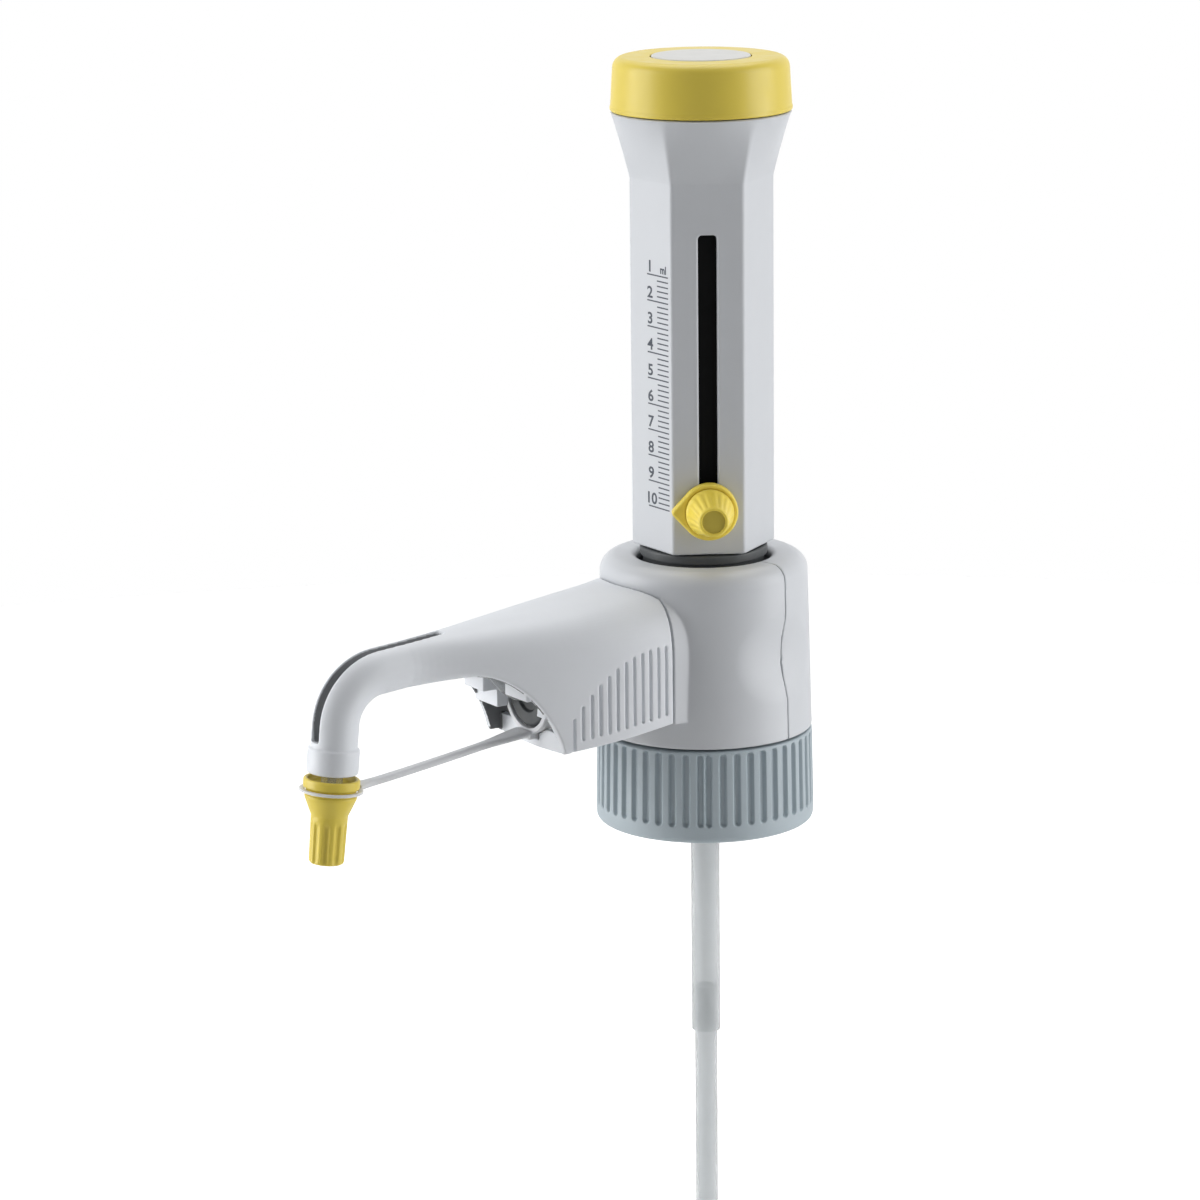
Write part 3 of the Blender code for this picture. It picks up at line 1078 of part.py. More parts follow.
def nozzle_cap(finish, parent):
    """Screw cap with a cupped flange, a cone and a fluted grip."""
    lip_z = -NOZZLE_CAP_DROP
    flange_z = lip_z - CAP_FLANGE_HEIGHT
    cone_z = flange_z - CAP_CONE_HEIGHT
    end_z = cone_z - CAP_GRIP_HEIGHT
    bore = NOZZLE_RADIUS + TOUCH_GAP
    cup = CAP_FLANGE_RADIUS - CAP_CUP_WALL
    floor = lip_z - CAP_CUP_DEPTH
    rows = [(bore, -NOZZLE_LENGTH - TOUCH_GAP, 0), (bore, floor - FINE_EDGE, 0), (cup, floor, 0),
            (cup, lip_z, 0), (CAP_FLANGE_RADIUS - FINE_EDGE, lip_z, 0),
            (CAP_FLANGE_RADIUS, lip_z - FINE_EDGE, 0), (CAP_FLANGE_RADIUS, flange_z + FINE_EDGE, 0),
            (CAP_CONE_RADIUS, flange_z, 0), (CAP_CONE_RADIUS, flange_z - LOOP_THICKNESS - TOUCH_GAP, 0),
            (CAP_GRIP_RADIUS, cone_z, 0), (CAP_GRIP_RADIUS, cone_z - EDGE, CAP_FLUTE_DEPTH),
            (CAP_GRIP_END_RADIUS, end_z + EDGE, CAP_FLUTE_DEPTH), (CAP_GRIP_END_RADIUS - EDGE, end_z, 0)]
    solid("nozzle_cap", fluted(rows, CAP_FLUTES), finish, parent)


def strap_loop(finish, parent):
    """Ring of the strap, held under the cap's flange."""
    high = -NOZZLE_CAP_DROP - CAP_FLANGE_HEIGHT - TOUCH_GAP
    low = high - LOOP_THICKNESS
    bore = CAP_CONE_RADIUS + TOUCH_GAP
    outline = [(bore, low), (LOOP_OUTER_RADIUS, low), (LOOP_OUTER_RADIUS, high), (bore, high)]
    solid("strap_loop", revolve(outline, INNER_STEPS), finish, parent)


def strap_route(frame):
    """Centre line of the strap from the loop to its clip on the valve body."""
    drop = NOZZLE_CAP_DROP + CAP_FLANGE_HEIGHT + TOUCH_GAP + 0.5 * LOOP_THICKNESS
    start = frame.location + NOZZLE_DOWN * drop + NOZZLE_INWARD * (LOOP_OUTER_RADIUS + TOUCH_GAP)
    clip_bottom = DISCHARGE_Z - DISCHARGE_BODY_RADIUS - TOUCH_GAP - CLIP_WALL
    end = Vector((-DISCHARGE_BODY_END - STRAP_THICKNESS, 0, clip_bottom - 0.6 * STRAP_THICKNESS))
    span = end - start
    points = []
    for step in range(STRAP_STEPS + 1):
        share = step / STRAP_STEPS
        lift = span.z * share ** 2.2 - 4 * STRAP_SAG * share * (1 - share)
        points.append(start + Vector((span.x * share, 0, lift)))
    return points


def cap_strap(finish, parent, frame):
    """Flat strap with the clip ring that sits on the discharge valve body."""
    rings = []
    route = strap_route(frame)
    for index, point in enumerate(route):
        share = index / (len(route) - 1)
        wide = SIDEWAYS * STRAP_WIDTH / 2 * (1 + STRAP_FLARE * max(0.0, share - 0.7) / 0.3)
        thick = direction(route, index).cross(SIDEWAYS) * STRAP_THICKNESS / 2
        rings.append([point - wide - thick, point + wide - thick, point + wide + thick, point - wide + thick])
    strap = solid("cap_strap", skin(rings), finish, parent)
    bore = DISCHARGE_BODY_RADIUS + TOUCH_GAP
    outer = bore + CLIP_WALL
    front = DISCHARGE_BODY_END + FINE_EDGE
    clip = revolve([(bore, front - CLIP_LENGTH), (outer, front - CLIP_LENGTH), (outer, front), (bore, front)],
                   INNER_STEPS)
    clip = cutter("strap_clip_tool", clip, parent, (0, 0, DISCHARGE_Z), (0, -math.pi / 2, 0))
    boolean(strap, clip, 'UNION')
    tab_front = front + STRAP_THICKNESS
    half = CLIP_TAB_WIDTH / 2
    tab = block((-tab_front, -half, DISCHARGE_Z - outer - STRAP_THICKNESS - TOUCH_GAP),
                (CLIP_TAB_LENGTH - tab_front, half, DISCHARGE_Z - outer + CLIP_WALL / 2))
    boolean(strap, cutter("strap_tab_tool", tab, parent), 'UNION')


def filling_unit(finishes, parent):
    """Filling valve in the core's floor, its sealing washer and the upper filling tube."""
    top = FILLING_SOCKET_TOP_Z - TOUCH_GAP
    chamber = BALL_RADIUS + 2 * TOUCH_GAP
    flange = FILLING_SOCKET_RADIUS + FILLING_FLANGE_WIDTH
    flange_top = -2 * TOUCH_GAP - FILLING_WASHER_THICKNESS
    flange_low = UPPER_TUBE_TOP_Z + TOUCH_GAP
    olive = UPPER_TUBE_RADIUS - UPPER_TUBE_WALL - RUNNING_GAP
    seat = FILLING_SEAT_Z - SEAT_DEPTH
    outline = [(VALVE_BORE_RADIUS, FILLING_VALVE_BOTTOM_Z), (olive - EDGE, FILLING_VALVE_BOTTOM_Z),
               (olive, FILLING_VALVE_BOTTOM_Z + 2 * EDGE), (olive, flange_low), (flange, flange_low),
               (flange, flange_top), (FILLING_SOCKET_RADIUS, flange_top), (FILLING_SOCKET_RADIUS, top),
               (VALVE_BORE_RADIUS, top), (VALVE_BORE_RADIUS, top - EDGE), (chamber, top - 2 * EDGE),
               (chamber, FILLING_SEAT_Z), (VALVE_BORE_RADIUS, seat)]
    solid("filling_valve_body", revolve(outline, SMALL_STEPS), finishes["white"], parent)
    inner = FILLING_SOCKET_RADIUS + TOUCH_GAP
    washer_low, washer_top = flange_top + TOUCH_GAP, -TOUCH_GAP
    washer = [(inner, washer_low), (flange, washer_low), (flange, washer_top), (inner, washer_top)]
    solid("filling_valve_washer", revolve(washer, SMALL_STEPS), finishes["seal"], parent)
    ball("filling_ball", finishes["ceramic"], parent, seat + BALL_SEAT_RISE)
    low, bore = UPPER_TUBE_TOP_Z - UPPER_TUBE_LENGTH, UPPER_TUBE_RADIUS - UPPER_TUBE_WALL
    upper = [(bore, low), (UPPER_TUBE_RADIUS, low), (UPPER_TUBE_RADIUS, UPPER_TUBE_TOP_Z),
             (bore, UPPER_TUBE_TOP_Z)]
    solid("upper_filling_tube", revolve(upper, SMALL_STEPS), finishes["tube"], parent)


def lower_filling_tube(finish, parent):
    """Inner telescopic tube that slides in the upper one, cut aslant at its foot."""
    radius = UPPER_TUBE_RADIUS - UPPER_TUBE_WALL - RUNNING_GAP
    inner = radius - LOWER_TUBE_WALL
    top = UPPER_TUBE_TOP_Z - UPPER_TUBE_LENGTH + TUBE_OVERLAP
    low = top - LOWER_TUBE_LENGTH
    body = revolve([(inner, low), (radius, low), (radius, top), (inner, top)], SMALL_STEPS)
    for vert in body.verts:
        if vert.co.z < low + radius:
            vert.co.z += vert.co.x + radius
    solid("lower_filling_tube", body, finish, parent)


def finish_set():
    """Colours of the real pieces."""
    return {
        "body": material("body_grey", (0.71, 0.73, 0.75), 0.42),
        "ring": material("ring_blue_grey", (0.36, 0.44, 0.47), 0.45),
        "yellow": material("signal_yellow", (0.80, 0.67, 0.14), 0.4),
        "grey": material("disc_grey", (0.62, 0.64, 0.66), 0.4),
        "black": material("guide_black", (0.02, 0.02, 0.022), 0.5),
        "dark": material("dark_grey", (0.10, 0.105, 0.11), 0.5),
        "core": material("core_white", (0.80, 0.80, 0.78), 0.5),
        "glass": material("glass", (0.85, 0.90, 0.92), 0.05, alpha=0.35),
        "seal": material("piston_white", (0.88, 0.88, 0.86), 0.5),
        "steel": material("steel", (0.62, 0.62, 0.63), 0.25, 1.0),
        "brass": material("brass", (0.70, 0.55, 0.25), 0.3, 1.0),
        "ceramic": material("ceramic", (0.90, 0.90, 0.88), 0.2),
        "tube": material("clear_tube", (0.85, 0.88, 0.88), 0.3, alpha=0.6),
        "strap": material("strap_white", (0.85, 0.86, 0.86), 0.4),
        "white": material("valve_white", (0.86, 0.86, 0.84), 0.45),
    }


def main():
    for old in list(bpy.data.objects):
        bpy.data.objects.remove(old, do_unlink=True)
    finishes = finish_set()
    block_axis = empty("block_turn_axis")
    casing_axis = empty("casing_slide_axis", block_axis)
    turn = math.radians(SLOT_FACET_ANGLE)
    facet = Vector((math.cos(turn), math.sin(turn), 0)) * CASING_APOTHEM
    pointer_axis = empty("pointer_axis", casing_axis, (facet.x, facet.y, POINTER_REST_Z),
                         (math.pi / 2, 0, turn + math.pi / 2))
    threaded_ring(finishes["ring"], None)
    valve_core(finishes["core"], block_axis)
    block_covers(finishes["body"], block_axis)
    vent_plug(finishes["dark"], block_axis)
    dosing_unit(finishes, block_axis)
    casing_sleeve(finishes["body"], casing_axis)
    piston_set(finishes, casing_axis)
    casing_cap(finishes, casing_axis)
    toothed_track(finishes["dark"], casing_axis)
    volume_pointer(finishes["yellow"], pointer_axis)
    thumb_screw(finishes["yellow"], pointer_axis)
    nozzle_axis = nozzle_frame(block_axis)
    discharge_housing(finishes["body"], block_axis, nozzle_axis)
    discharge_valve(finishes, block_axis)
    discharge_tube(finishes["tube"], block_axis)
    nozzle_tip(finishes["tube"], nozzle_axis)
    nozzle_cap(finishes["yellow"], nozzle_axis)
    strap_loop(finishes["strap"], nozzle_axis)
    cap_strap(finishes["strap"], block_axis, nozzle_axis)
    filling_unit(finishes, block_axis)
    lower_filling_tube(finishes["tube"], block_axis)


main()
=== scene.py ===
"""Looks of a bottle top dispenser: ribbed screw ring, valve block, bent discharge arm, casing and cap.

Run as a script, it loads the CAD frame, builds each visible piece with one operator, and sets the
stage. All lengths are in metres, written as millimetres times MM, in the frame of the CAD part.
"""

import math

import bmesh
import bpy
from bpy.props import FloatProperty, FloatVectorProperty, IntProperty, PointerProperty
from mathutils import Matrix, Vector


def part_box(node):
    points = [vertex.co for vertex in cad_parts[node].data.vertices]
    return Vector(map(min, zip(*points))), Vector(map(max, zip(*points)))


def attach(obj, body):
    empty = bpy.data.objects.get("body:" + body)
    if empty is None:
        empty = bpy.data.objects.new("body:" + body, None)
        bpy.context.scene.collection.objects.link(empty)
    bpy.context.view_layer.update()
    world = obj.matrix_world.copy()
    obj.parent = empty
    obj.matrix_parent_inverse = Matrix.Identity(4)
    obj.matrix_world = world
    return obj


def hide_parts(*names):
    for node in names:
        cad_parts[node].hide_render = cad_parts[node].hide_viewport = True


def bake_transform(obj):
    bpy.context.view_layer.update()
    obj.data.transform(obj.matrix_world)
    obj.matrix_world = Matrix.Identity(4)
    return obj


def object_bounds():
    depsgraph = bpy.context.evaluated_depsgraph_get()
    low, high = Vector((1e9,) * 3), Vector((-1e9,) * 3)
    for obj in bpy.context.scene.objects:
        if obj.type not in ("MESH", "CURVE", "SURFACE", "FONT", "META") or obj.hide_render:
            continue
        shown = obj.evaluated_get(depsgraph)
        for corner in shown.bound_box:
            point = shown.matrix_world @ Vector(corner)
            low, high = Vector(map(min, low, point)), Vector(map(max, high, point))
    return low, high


bl_info = {
    "name": "Bottle top dispenser",
    "version": (1, 0, 0),
    "blender": (4, 5, 0),
    "location": "3D View > Sidebar > Dispenser",
    "description": "Builds the visible pieces of a bottle top dispenser on its CAD frame",
    "category": "Object",
}

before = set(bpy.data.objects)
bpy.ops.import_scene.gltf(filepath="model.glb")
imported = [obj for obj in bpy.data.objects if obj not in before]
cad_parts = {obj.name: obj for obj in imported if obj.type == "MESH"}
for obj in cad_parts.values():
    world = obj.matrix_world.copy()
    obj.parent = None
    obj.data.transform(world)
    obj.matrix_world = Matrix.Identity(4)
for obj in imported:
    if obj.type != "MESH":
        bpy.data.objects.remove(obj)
CAD_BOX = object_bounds()

MM = 0.001
SIDEWAYS = Vector((0, 1, 0))
UP = Vector((0, 0, 1))


def reach_of(node):
    """Low and high corner of a CAD node, as two tuples."""
    low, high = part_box(node)
    return tuple(low), tuple(high)


RING_LOW, RING_HIGH = reach_of("threaded_ring")
COVER_LOW, COVER_HIGH = reach_of("rear_cover")
CASING_LOW, CASING_HIGH = reach_of("casing_sleeve")
CAP_LOW, CAP_HIGH = reach_of("casing_cap")
DISC_LOW, DISC_HIGH = reach_of("cap_disc")
GUIDE_LOW, GUIDE_HIGH = reach_of("guide_sleeve")
SAFETY_LOW, SAFETY_HIGH = reach_of("safety_ring")
UPPER_TUBE_LOW, UPPER_TUBE_HIGH = reach_of("upper_filling_tube")
LOWER_TUBE_LOW, LOWER_TUBE_HIGH = reach_of("lower_filling_tube")

# Screw ring
RING_TOP_Z = RING_HIGH[2]
RING_FOOT_Z = RING_LOW[2]
RING_RADIUS = 27.5 * MM
RING_FOOT_RADIUS = RING_HIGH[0]
RING_BORE_RADIUS = 22.6 * MM
RING_COLLAR_RADIUS = 20.9 * MM
RING_COLLAR_THICKNESS = 3.2 * MM
RING_BAND_HEIGHT = 4.2 * MM
RING_TOP_RIM = 0.55 * MM
GROOVE_SIDES = 24
GROOVE_TURN = 7.5
MIDDLE_RIB_TURN = 4.4
MIDDLE_RIB_ANGLE = 234.85

# Valve block
BLOCK_BOTTOM_Z = COVER_LOW[2]
BLOCK_TOP_Z = COVER_HIGH[2]
BLOCK_RADIUS = 27.5 * MM
BLOCK_TOP_RADIUS = 26.45 * MM
BLOCK_LIP_RADIUS = 17.0 * MM
BLOCK_SHOULDER_RADIUS = 4.3 * MM
BLOCK_LIP_ROUND = 1.7 * MM
COVER_WALL = 2.6 * MM
COVER_INNER_RADIUS = 24.6 * MM
SEAM_ANGLE = 74.4
SEAM_LEAN = 1.6
SEAM_LEAN_HEIGHT = 6.5 * MM
DIMPLE_ANGLE = 79.0
DIMPLE_Z = 27.0 * MM
VENT_PLUG_Z = 17.0 * MM

# Discharge arm
ARM_START = 23.3 * MM
ARM_TAPER_END = 90.0 * MM
ARM_SLOPE = math.atan(0.08)
ARM_TUBE_RADIUS = 5.8 * MM
ARM_AXIS_Z = 34.3 * MM
ELBOW_RADIUS = 13.0 * MM
ELBOW_TURN = math.radians(84.0)
NOZZLE_REACH = 109.89 * MM
NOZZLE_Z = 15.49 * MM
NOZZLE_RISE = 1.2 * MM
ARM_HALF_WIDTH = 19.7 * MM
ARM_TOP_Z = 46.4 * MM
ARM_FOOT_Z = 12.7 * MM
ARM_TIP_Z = 8.4 * MM
ARM_CROWN_HEIGHT = 20.0 * MM
ARM_CROWN_POWER = 3.1
ARM_KEEL_HEIGHT = 0.6 * MM
ARM_WALL = 1.8 * MM
FLANGE_THICKNESS = 3.6 * MM
FLANGE_GAP = 0.5 * MM
RECESS_START = 53.0 * MM
RECESS_END = 76.0 * MM
RECESS_FRONT_END = 74.0 * MM
RECESS_ROOT_CEILING_Z = 32.6 * MM
TUBE_WAY_HALF_WIDTH = 2.4 * MM
TUBE_WAY_CEILING_Z = 34.0 * MM
FAR_WALL_REACH = 3.5 * MM
NEAR_STAIR = (54.8 * MM, 57.2 * MM, 62.0 * MM, 18.2 * MM, 22.9 * MM)
FAR_STAIR = (56.6 * MM, 60.95 * MM, 65.3 * MM, 18.5 * MM, 23.1 * MM)
COLLAR_RADIUS = 6.4 * MM
COLLAR_LENGTH = 6.4 * MM
CHANNEL_START = 78.5 * MM
CHANNEL_DEPTH = 5.2 * MM
CHANNEL_END = 1.3 * MM
CROSS_WALL_THICKNESS = 1.8 * MM
CROSS_WALL_HEIGHT = 4.6 * MM
CROSS_WALL_BOW = 0.7 * MM
GRIP_COUNT = 12
GRIP_PITCH = 2.31 * MM
GRIP_WIDTH = 0.66 * MM
GRIP_DEPTH = 0.8 * MM
GRIP_START = 1.9 * MM
GRIP_LAND = 2.9 * MM
GRIP_TOP_Z = 33.3 * MM
GRIP_FALL = 15.5 * MM
GRIP_FALL_POWER = 2.3

# Discharge valve, inner tube, nozzle, its cap and strap
VALVE_Z = 21.3 * MM
VALVE_RADIUS = 8.3 * MM
VALVE_END = 54.0 * MM
VALVE_THREAD_RADIUS = 5.9 * MM
TUBE_RADIUS = 1.4 * MM
TUBE_OFFSET = 1.6 * MM
CLIP_WALL = 1.3 * MM
CLIP_LENGTH = 4.7 * MM
CLIP_TAB_HALF_WIDTH = 2.8 * MM
CLIP_TAB_LENGTH = 4.2 * MM
CLIP_TAB_DROP = 3.1 * MM
NOZZLE_DOWN = Vector((-math.cos(ELBOW_TURN), 0, -math.sin(ELBOW_TURN)))
NOZZLE_INWARD = Vector((math.sin(ELBOW_TURN), 0, -math.cos(ELBOW_TURN)))
NOZZLE_OUTWARD = -NOZZLE_INWARD
NOZZLE_CAP_DROP = 1.3 * MM
CAP_FLANGE_HEIGHT = 2.4 * MM
LOOP_THICKNESS = 0.65 * MM
LOOP_OUTER_RADIUS = 7.9 * MM
LOOP_BORE_RADIUS = 6.55 * MM
TOUCH_GAP = 0.3 * MM

# Casing
CASING_BOTTOM_Z = CASING_LOW[2]
CASING_TOP_Z = CASING_HIGH[2]
CASING_APOTHEM = 15.75 * MM
CASING_INNER_APOTHEM = 13.75 * MM
CASING_CORNER = 1.2 * MM
FLARE_HEIGHT = 16.6 * MM
FLARE_RADIUS = 22.55 * MM
SLOT_ANGLE = 240.0
SLOT_WIDTH = 4.7 * MM
SLOT_LOW_Z = 60.3 * MM
SLOT_TOP_Z = 133.8 * MM
POINTER_Z = 64.5 * MM
GUIDE_GROOVE_HALF_WIDTH = 2.45 * MM
GUIDE_GROOVE_LOW_Z = 61.2 * MM
GUIDE_GROOVE_TOP_Z = 133.3 * MM
GUIDE_GROOVE_FLOOR = 9.25 * MM


class DispenserSettings(bpy.types.PropertyGroup):
    """Sizes and colours that a user of the model would change."""
    body_colour: FloatVectorProperty(
        name="Body colour", description="Cool grey of the casing, block and arm", subtype='COLOR',
        size=3, min=0.0, max=1.0, default=(0.60, 0.62, 0.65))
    ring_colour: FloatVectorProperty(
        name="Ring colour", description="Blue-grey of the screw ring", subtype='COLOR',
        size=3, min=0.0, max=1.0, default=(0.41, 0.475, 0.515))
    signal_colour: FloatVectorProperty(
        name="Signal colour", description="Yellow of the caps, pointer and thumb screw",
        subtype='COLOR', size=3, min=0.0, max=1.0, default=(0.73, 0.575, 0.075))
    ink_colour: FloatVectorProperty(
        name="Ink colour", description="Print of the volume scale", subtype='COLOR',
        size=3, min=0.0, max=1.0, default=(0.05, 0.06, 0.08))
    groove_depth: FloatProperty(
        name="Groove depth", description="Depth of the screw ring's grip grooves", subtype='DISTANCE',
        unit='LENGTH', min=0.0002, max=0.0015, default=0.001)
    groove_width: FloatProperty(
        name="Groove width", description="Width of the screw ring's grip grooves", subtype='DISTANCE',
        unit='LENGTH', min=0.0005, max=0.002, default=0.0017)
    dimple_depth: FloatProperty(
        name="Dimple depth", description="Depth of the finger dimples in the valve block",
        subtype='DISTANCE', unit='LENGTH', min=0.0, max=0.0016, default=0.0015)
    dimple_width: FloatProperty(
        name="Dimple width", description="Width of the finger dimples around the block",
        subtype='DISTANCE', unit='LENGTH', min=0.01, max=0.035, default=0.028)
    dimple_height: FloatProperty(
        name="Dimple height", description="Height of the finger dimples", subtype='DISTANCE',
        unit='LENGTH', min=0.01, max=0.03, default=0.023)
    seam_gap: FloatProperty(
        name="Seam gap", description="Gap between the two covers of the valve block",
        subtype='DISTANCE', unit='LENGTH', min=0.0001, max=0.001, default=0.0003)
    channel_width: FloatProperty(
        name="Channel width", description="Width of the open channel over the elbow",
        subtype='DISTANCE', unit='LENGTH', min=0.002, max=0.005, default=0.0032)
    figure_height: FloatProperty(
        name="Figure height", description="Height of the figures on the volume scale",
        subtype='DISTANCE', unit='LENGTH', min=0.0015, max=0.005, default=0.0029)
    scale_steps: IntProperty(
        name="Lines per figure", description="Short scale lines from one figure to the next",
        min=1, max=9, default=4)
    light_level: FloatProperty(
        name="Light level", description="Brightness of the studio lamps together",
        subtype='FACTOR', min=0.1, max=3.0, default=1.0)


# Mesh helpers

def softened(corners, steps=5, closed=True):
    """Outline with each corner (x, y, radius) turned into a tangent arc."""
    points = []
    count = len(corners)
    for index, (x, y, radius) in enumerate(corners):
        if radius <= 0 or (not closed and index in (0, count - 1)):
            points.append((x, y))
            continue
        here = Vector((x, y))
        before = Vector(corners[index - 1][:2]) - here
        after = Vector(corners[(index + 1) % count][:2]) - here
        half = before.angle(after) / 2
        reach = min(radius / math.tan(half), 0.49 * before.length, 0.49 * after.length)
        radius = reach * math.tan(half)
        middle = (before.normalized() + after.normalized()).normalized()
        centre = here + middle * (radius / math.sin(half))
        start = here + before.normalized() * reach - centre
        end = here + after.normalized() * reach - centre
        first = math.atan2(start.y, start.x)
        sweep = math.atan2(start.x * end.y - start.y * end.x, start.dot(end))
        for step in range(steps + 1):
            angle = first + sweep * step / steps
            points.append((centre.x + radius * math.cos(angle), centre.y + radius * math.sin(angle)))
    return points


def skin(rings, closed=False, capped=True):
    """Loft one strip of faces between each ring of points and the next."""
    bm = bmesh.new()
    loops = [[bm.verts.new(point) for point in ring] for ring in rings]
    pairs = list(zip(loops, loops[1:] + loops[:1])) if closed else list(zip(loops, loops[1:]))
    for low, high in pairs:
        count = len(low)
        for index in range(count):
            following = (index + 1) % count
            bm.faces.new((low[index], low[following], high[following], high[index]))
    if capped and not closed:
        bm.faces.new(list(reversed(loops[0])))
        bm.faces.new(loops[-1])
    return bm


def turned(profile, steps=128, ring=True):
    """Spin a profile of (radius, z) points about Z. A ring profile is a closed outline off the axis."""
    bm = bmesh.new()
    verts = [bm.verts.new((radius, 0, z)) for radius, z in profile]
    ends = verts[1:] + (verts[:1] if ring else [])
    edges = [bm.edges.new(pair) for pair in zip(verts, ends)]
    bmesh.ops.spin(bm, geom=verts + edges, cent=(0, 0, 0), axis=(0, 0, 1), angle=math.tau,
                   steps=steps, use_merge=True, use_duplicate=False)
    bmesh.ops.remove_doubles(bm, verts=bm.verts, dist=1e-6)
    return bm


def prism(outline, depths, axes):
    """Extrude a plane outline between two depths. axes gives the directions of u, v and depth."""
    across, up, along = (Vector(axis) for axis in axes)
    return skin([[across * u + up * v + along * depth for u, v in outline] for depth in depths])


def rod(radius, low, high, steps=48):
    """Plain round tool body along Z."""
    return turned([(0, low), (radius, low), (radius, high), (0, high)], steps, ring=False)


def merged(parts):
    """Put several closed bodies in one bmesh."""
    whole = bmesh.new()
    for part in parts:
        scrap = bpy.data.meshes.new("scrap")
        part.to_mesh(scrap)
        part.free()
        whole.from_mesh(scrap)
        bpy.data.meshes.remove(scrap)
    return whole


def placed(bm, matrix):
    """Move a body into the frame of the CAD part."""
    bmesh.ops.transform(bm, matrix=matrix, verts=bm.verts)
    return bm


def new_piece(name, bm, finish=None, sharp=33.0):
    """Named object from a bmesh, with outward faces and smooth shading between its edges."""
    bmesh.ops.recalc_face_normals(bm, faces=bm.faces)
    mesh = bpy.data.meshes.new(name)
    bm.to_mesh(mesh)
    bm.free()
    mesh.shade_smooth()
    mesh.set_sharp_from_angle(angle=math.radians(sharp))
    if finish is not None:
        mesh.materials.append(finish)
    piece = bpy.data.objects.new(name, mesh)
    bpy.context.scene.collection.objects.link(piece)
    return piece


def settled(piece, sharp=33.0):
    """Turn a piece's modifiers into its own mesh."""
    graph = bpy.context.evaluated_depsgraph_get()
    mesh = bpy.data.meshes.new_from_object(piece.evaluated_get(graph))
    piece.modifiers.clear()
    piece.data = mesh
    mesh.shade_smooth()
    mesh.set_sharp_from_angle(angle=math.radians(sharp))
    return piece


def shaped(piece, cuts, sharp=33.0):
    """Cut or join tool bodies, given as (bmesh, operation), one after another."""
    for tool_body, operation in cuts:
        tool = new_piece("tool", tool_body)
        step = piece.modifiers.new("cut", 'BOOLEAN')
        step.operation = operation
        step.solver = 'EXACT'
        step.object = tool
        settled(piece, sharp)
        bpy.data.objects.remove(tool, do_unlink=True)
    return piece


def moulded(piece, voxel, passes=6):
    """Remesh a cut body so that its edges come out round, as in an injection moulding."""
    step = piece.modifiers.new("remesh", 'REMESH')
    step.mode = 'VOXEL'
    step.voxel_size = voxel
    step.use_smooth_shade = True
    smooth = piece.modifiers.new("soften", 'SMOOTH')
    smooth.factor = 0.5
    smooth.iterations = passes
    settled(piece, 180.0)
    return piece


def even_shading(piece):
    """Keep flat faces flat and let the small rounded edges carry the bend in the shading."""
    weight = piece.modifiers.new("weighted_normal", 'WEIGHTED_NORMAL')
    weight.keep_sharp = True
    weight.weight = 80
    return piece


def fitted(piece, body, slot, *nodes):
    """Let a finished piece ride on its body in place of its CAD nodes."""
    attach(piece, body)
    if nodes:
        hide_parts(*nodes)
    return piece


# Finishes

def shader_node(tree, kind, **inputs):
    """Add a shader node and set its inputs by name."""
    node = tree.nodes.new(kind)
    for label, value in inputs.items():
        node.inputs[label.replace("_", " ")].default_value = value
    return node


def new_finish(name):
    """Empty material with a Principled shader, and the object's own coordinates."""
    made = bpy.data.materials.new(name)
    made.use_nodes = True
    tree = made.node_tree
    shader = tree.nodes["Principled BSDF"]
    place = tree.nodes.new("ShaderNodeTexCoord").outputs["Object"]
    return made, tree, shader, place


def mottled(tree, place, colour, shift, scale):
    """Base colour that drifts a little between two tones, as moulded pigment does."""
    noise = shader_node(tree, "ShaderNodeTexNoise", Scale=scale, Detail=4.0, Roughness=0.55)
    tree.links.new(place, noise.inputs["Vector"])
    mix = tree.nodes.new("ShaderNodeMix")
    mix.data_type = 'RGBA'
    mix.inputs[6].default_value = (*[max(0.0, c * (1 - shift)) for c in colour], 1.0)
    mix.inputs[7].default_value = (*[min(1.0, c * (1 + shift)) for c in colour], 1.0)
    tree.links.new(noise.outputs["Fac"], mix.inputs[0])
    return mix.outputs[2]


def uneven(tree, place, low, high, scale):
    """Roughness that wanders between two values."""
    noise = shader_node(tree, "ShaderNodeTexNoise", Scale=scale, Detail=3.0)
    tree.links.new(place, noise.inputs["Vector"])
    span = shader_node(tree, "ShaderNodeMapRange")
    span.inputs["From Min"].default_value = 0.3
    span.inputs["From Max"].default_value = 0.7
    span.inputs["To Min"].default_value = low
    span.inputs["To Max"].default_value = high
    tree.links.new(noise.outputs["Fac"], span.inputs["Value"])
    return span.outputs["Result"]


def grain(tree, place, height, scale, strength):
    """Fine bump, such as the spark-eroded grain of a mould."""
    noise = shader_node(tree, "ShaderNodeTexNoise", Scale=scale, Detail=2.0, Roughness=0.6)
    tree.links.new(place, noise.inputs["Vector"])
    bump = shader_node(tree, "ShaderNodeBump", Strength=strength, Distance=height)
    tree.links.new(noise.outputs["Fac"], bump.inputs["Height"])
    return bump.outputs["Normal"]


def moulded_plastic(name, colour, rough=(0.36, 0.46), shift=0.012, bump=0.12, gloss=0.5):
    """Opaque moulded plastic: faint pigment drift, uneven gloss and fine mould grain."""
    made, tree, shader, place = new_finish(name)
    tree.links.new(mottled(tree, place, colour, shift, 90.0), shader.inputs["Base Color"])
    tree.links.new(uneven(tree, place, *rough, 240.0), shader.inputs["Roughness"])
    tree.links.new(grain(tree, place, 0.00003, 3600.0, bump), shader.inputs["Normal"])
    shader.inputs["IOR"].default_value = 1.46
    shader.inputs["Specular IOR Level"].default_value = gloss
    made.diffuse_color = (*colour, 1.0)
    return made


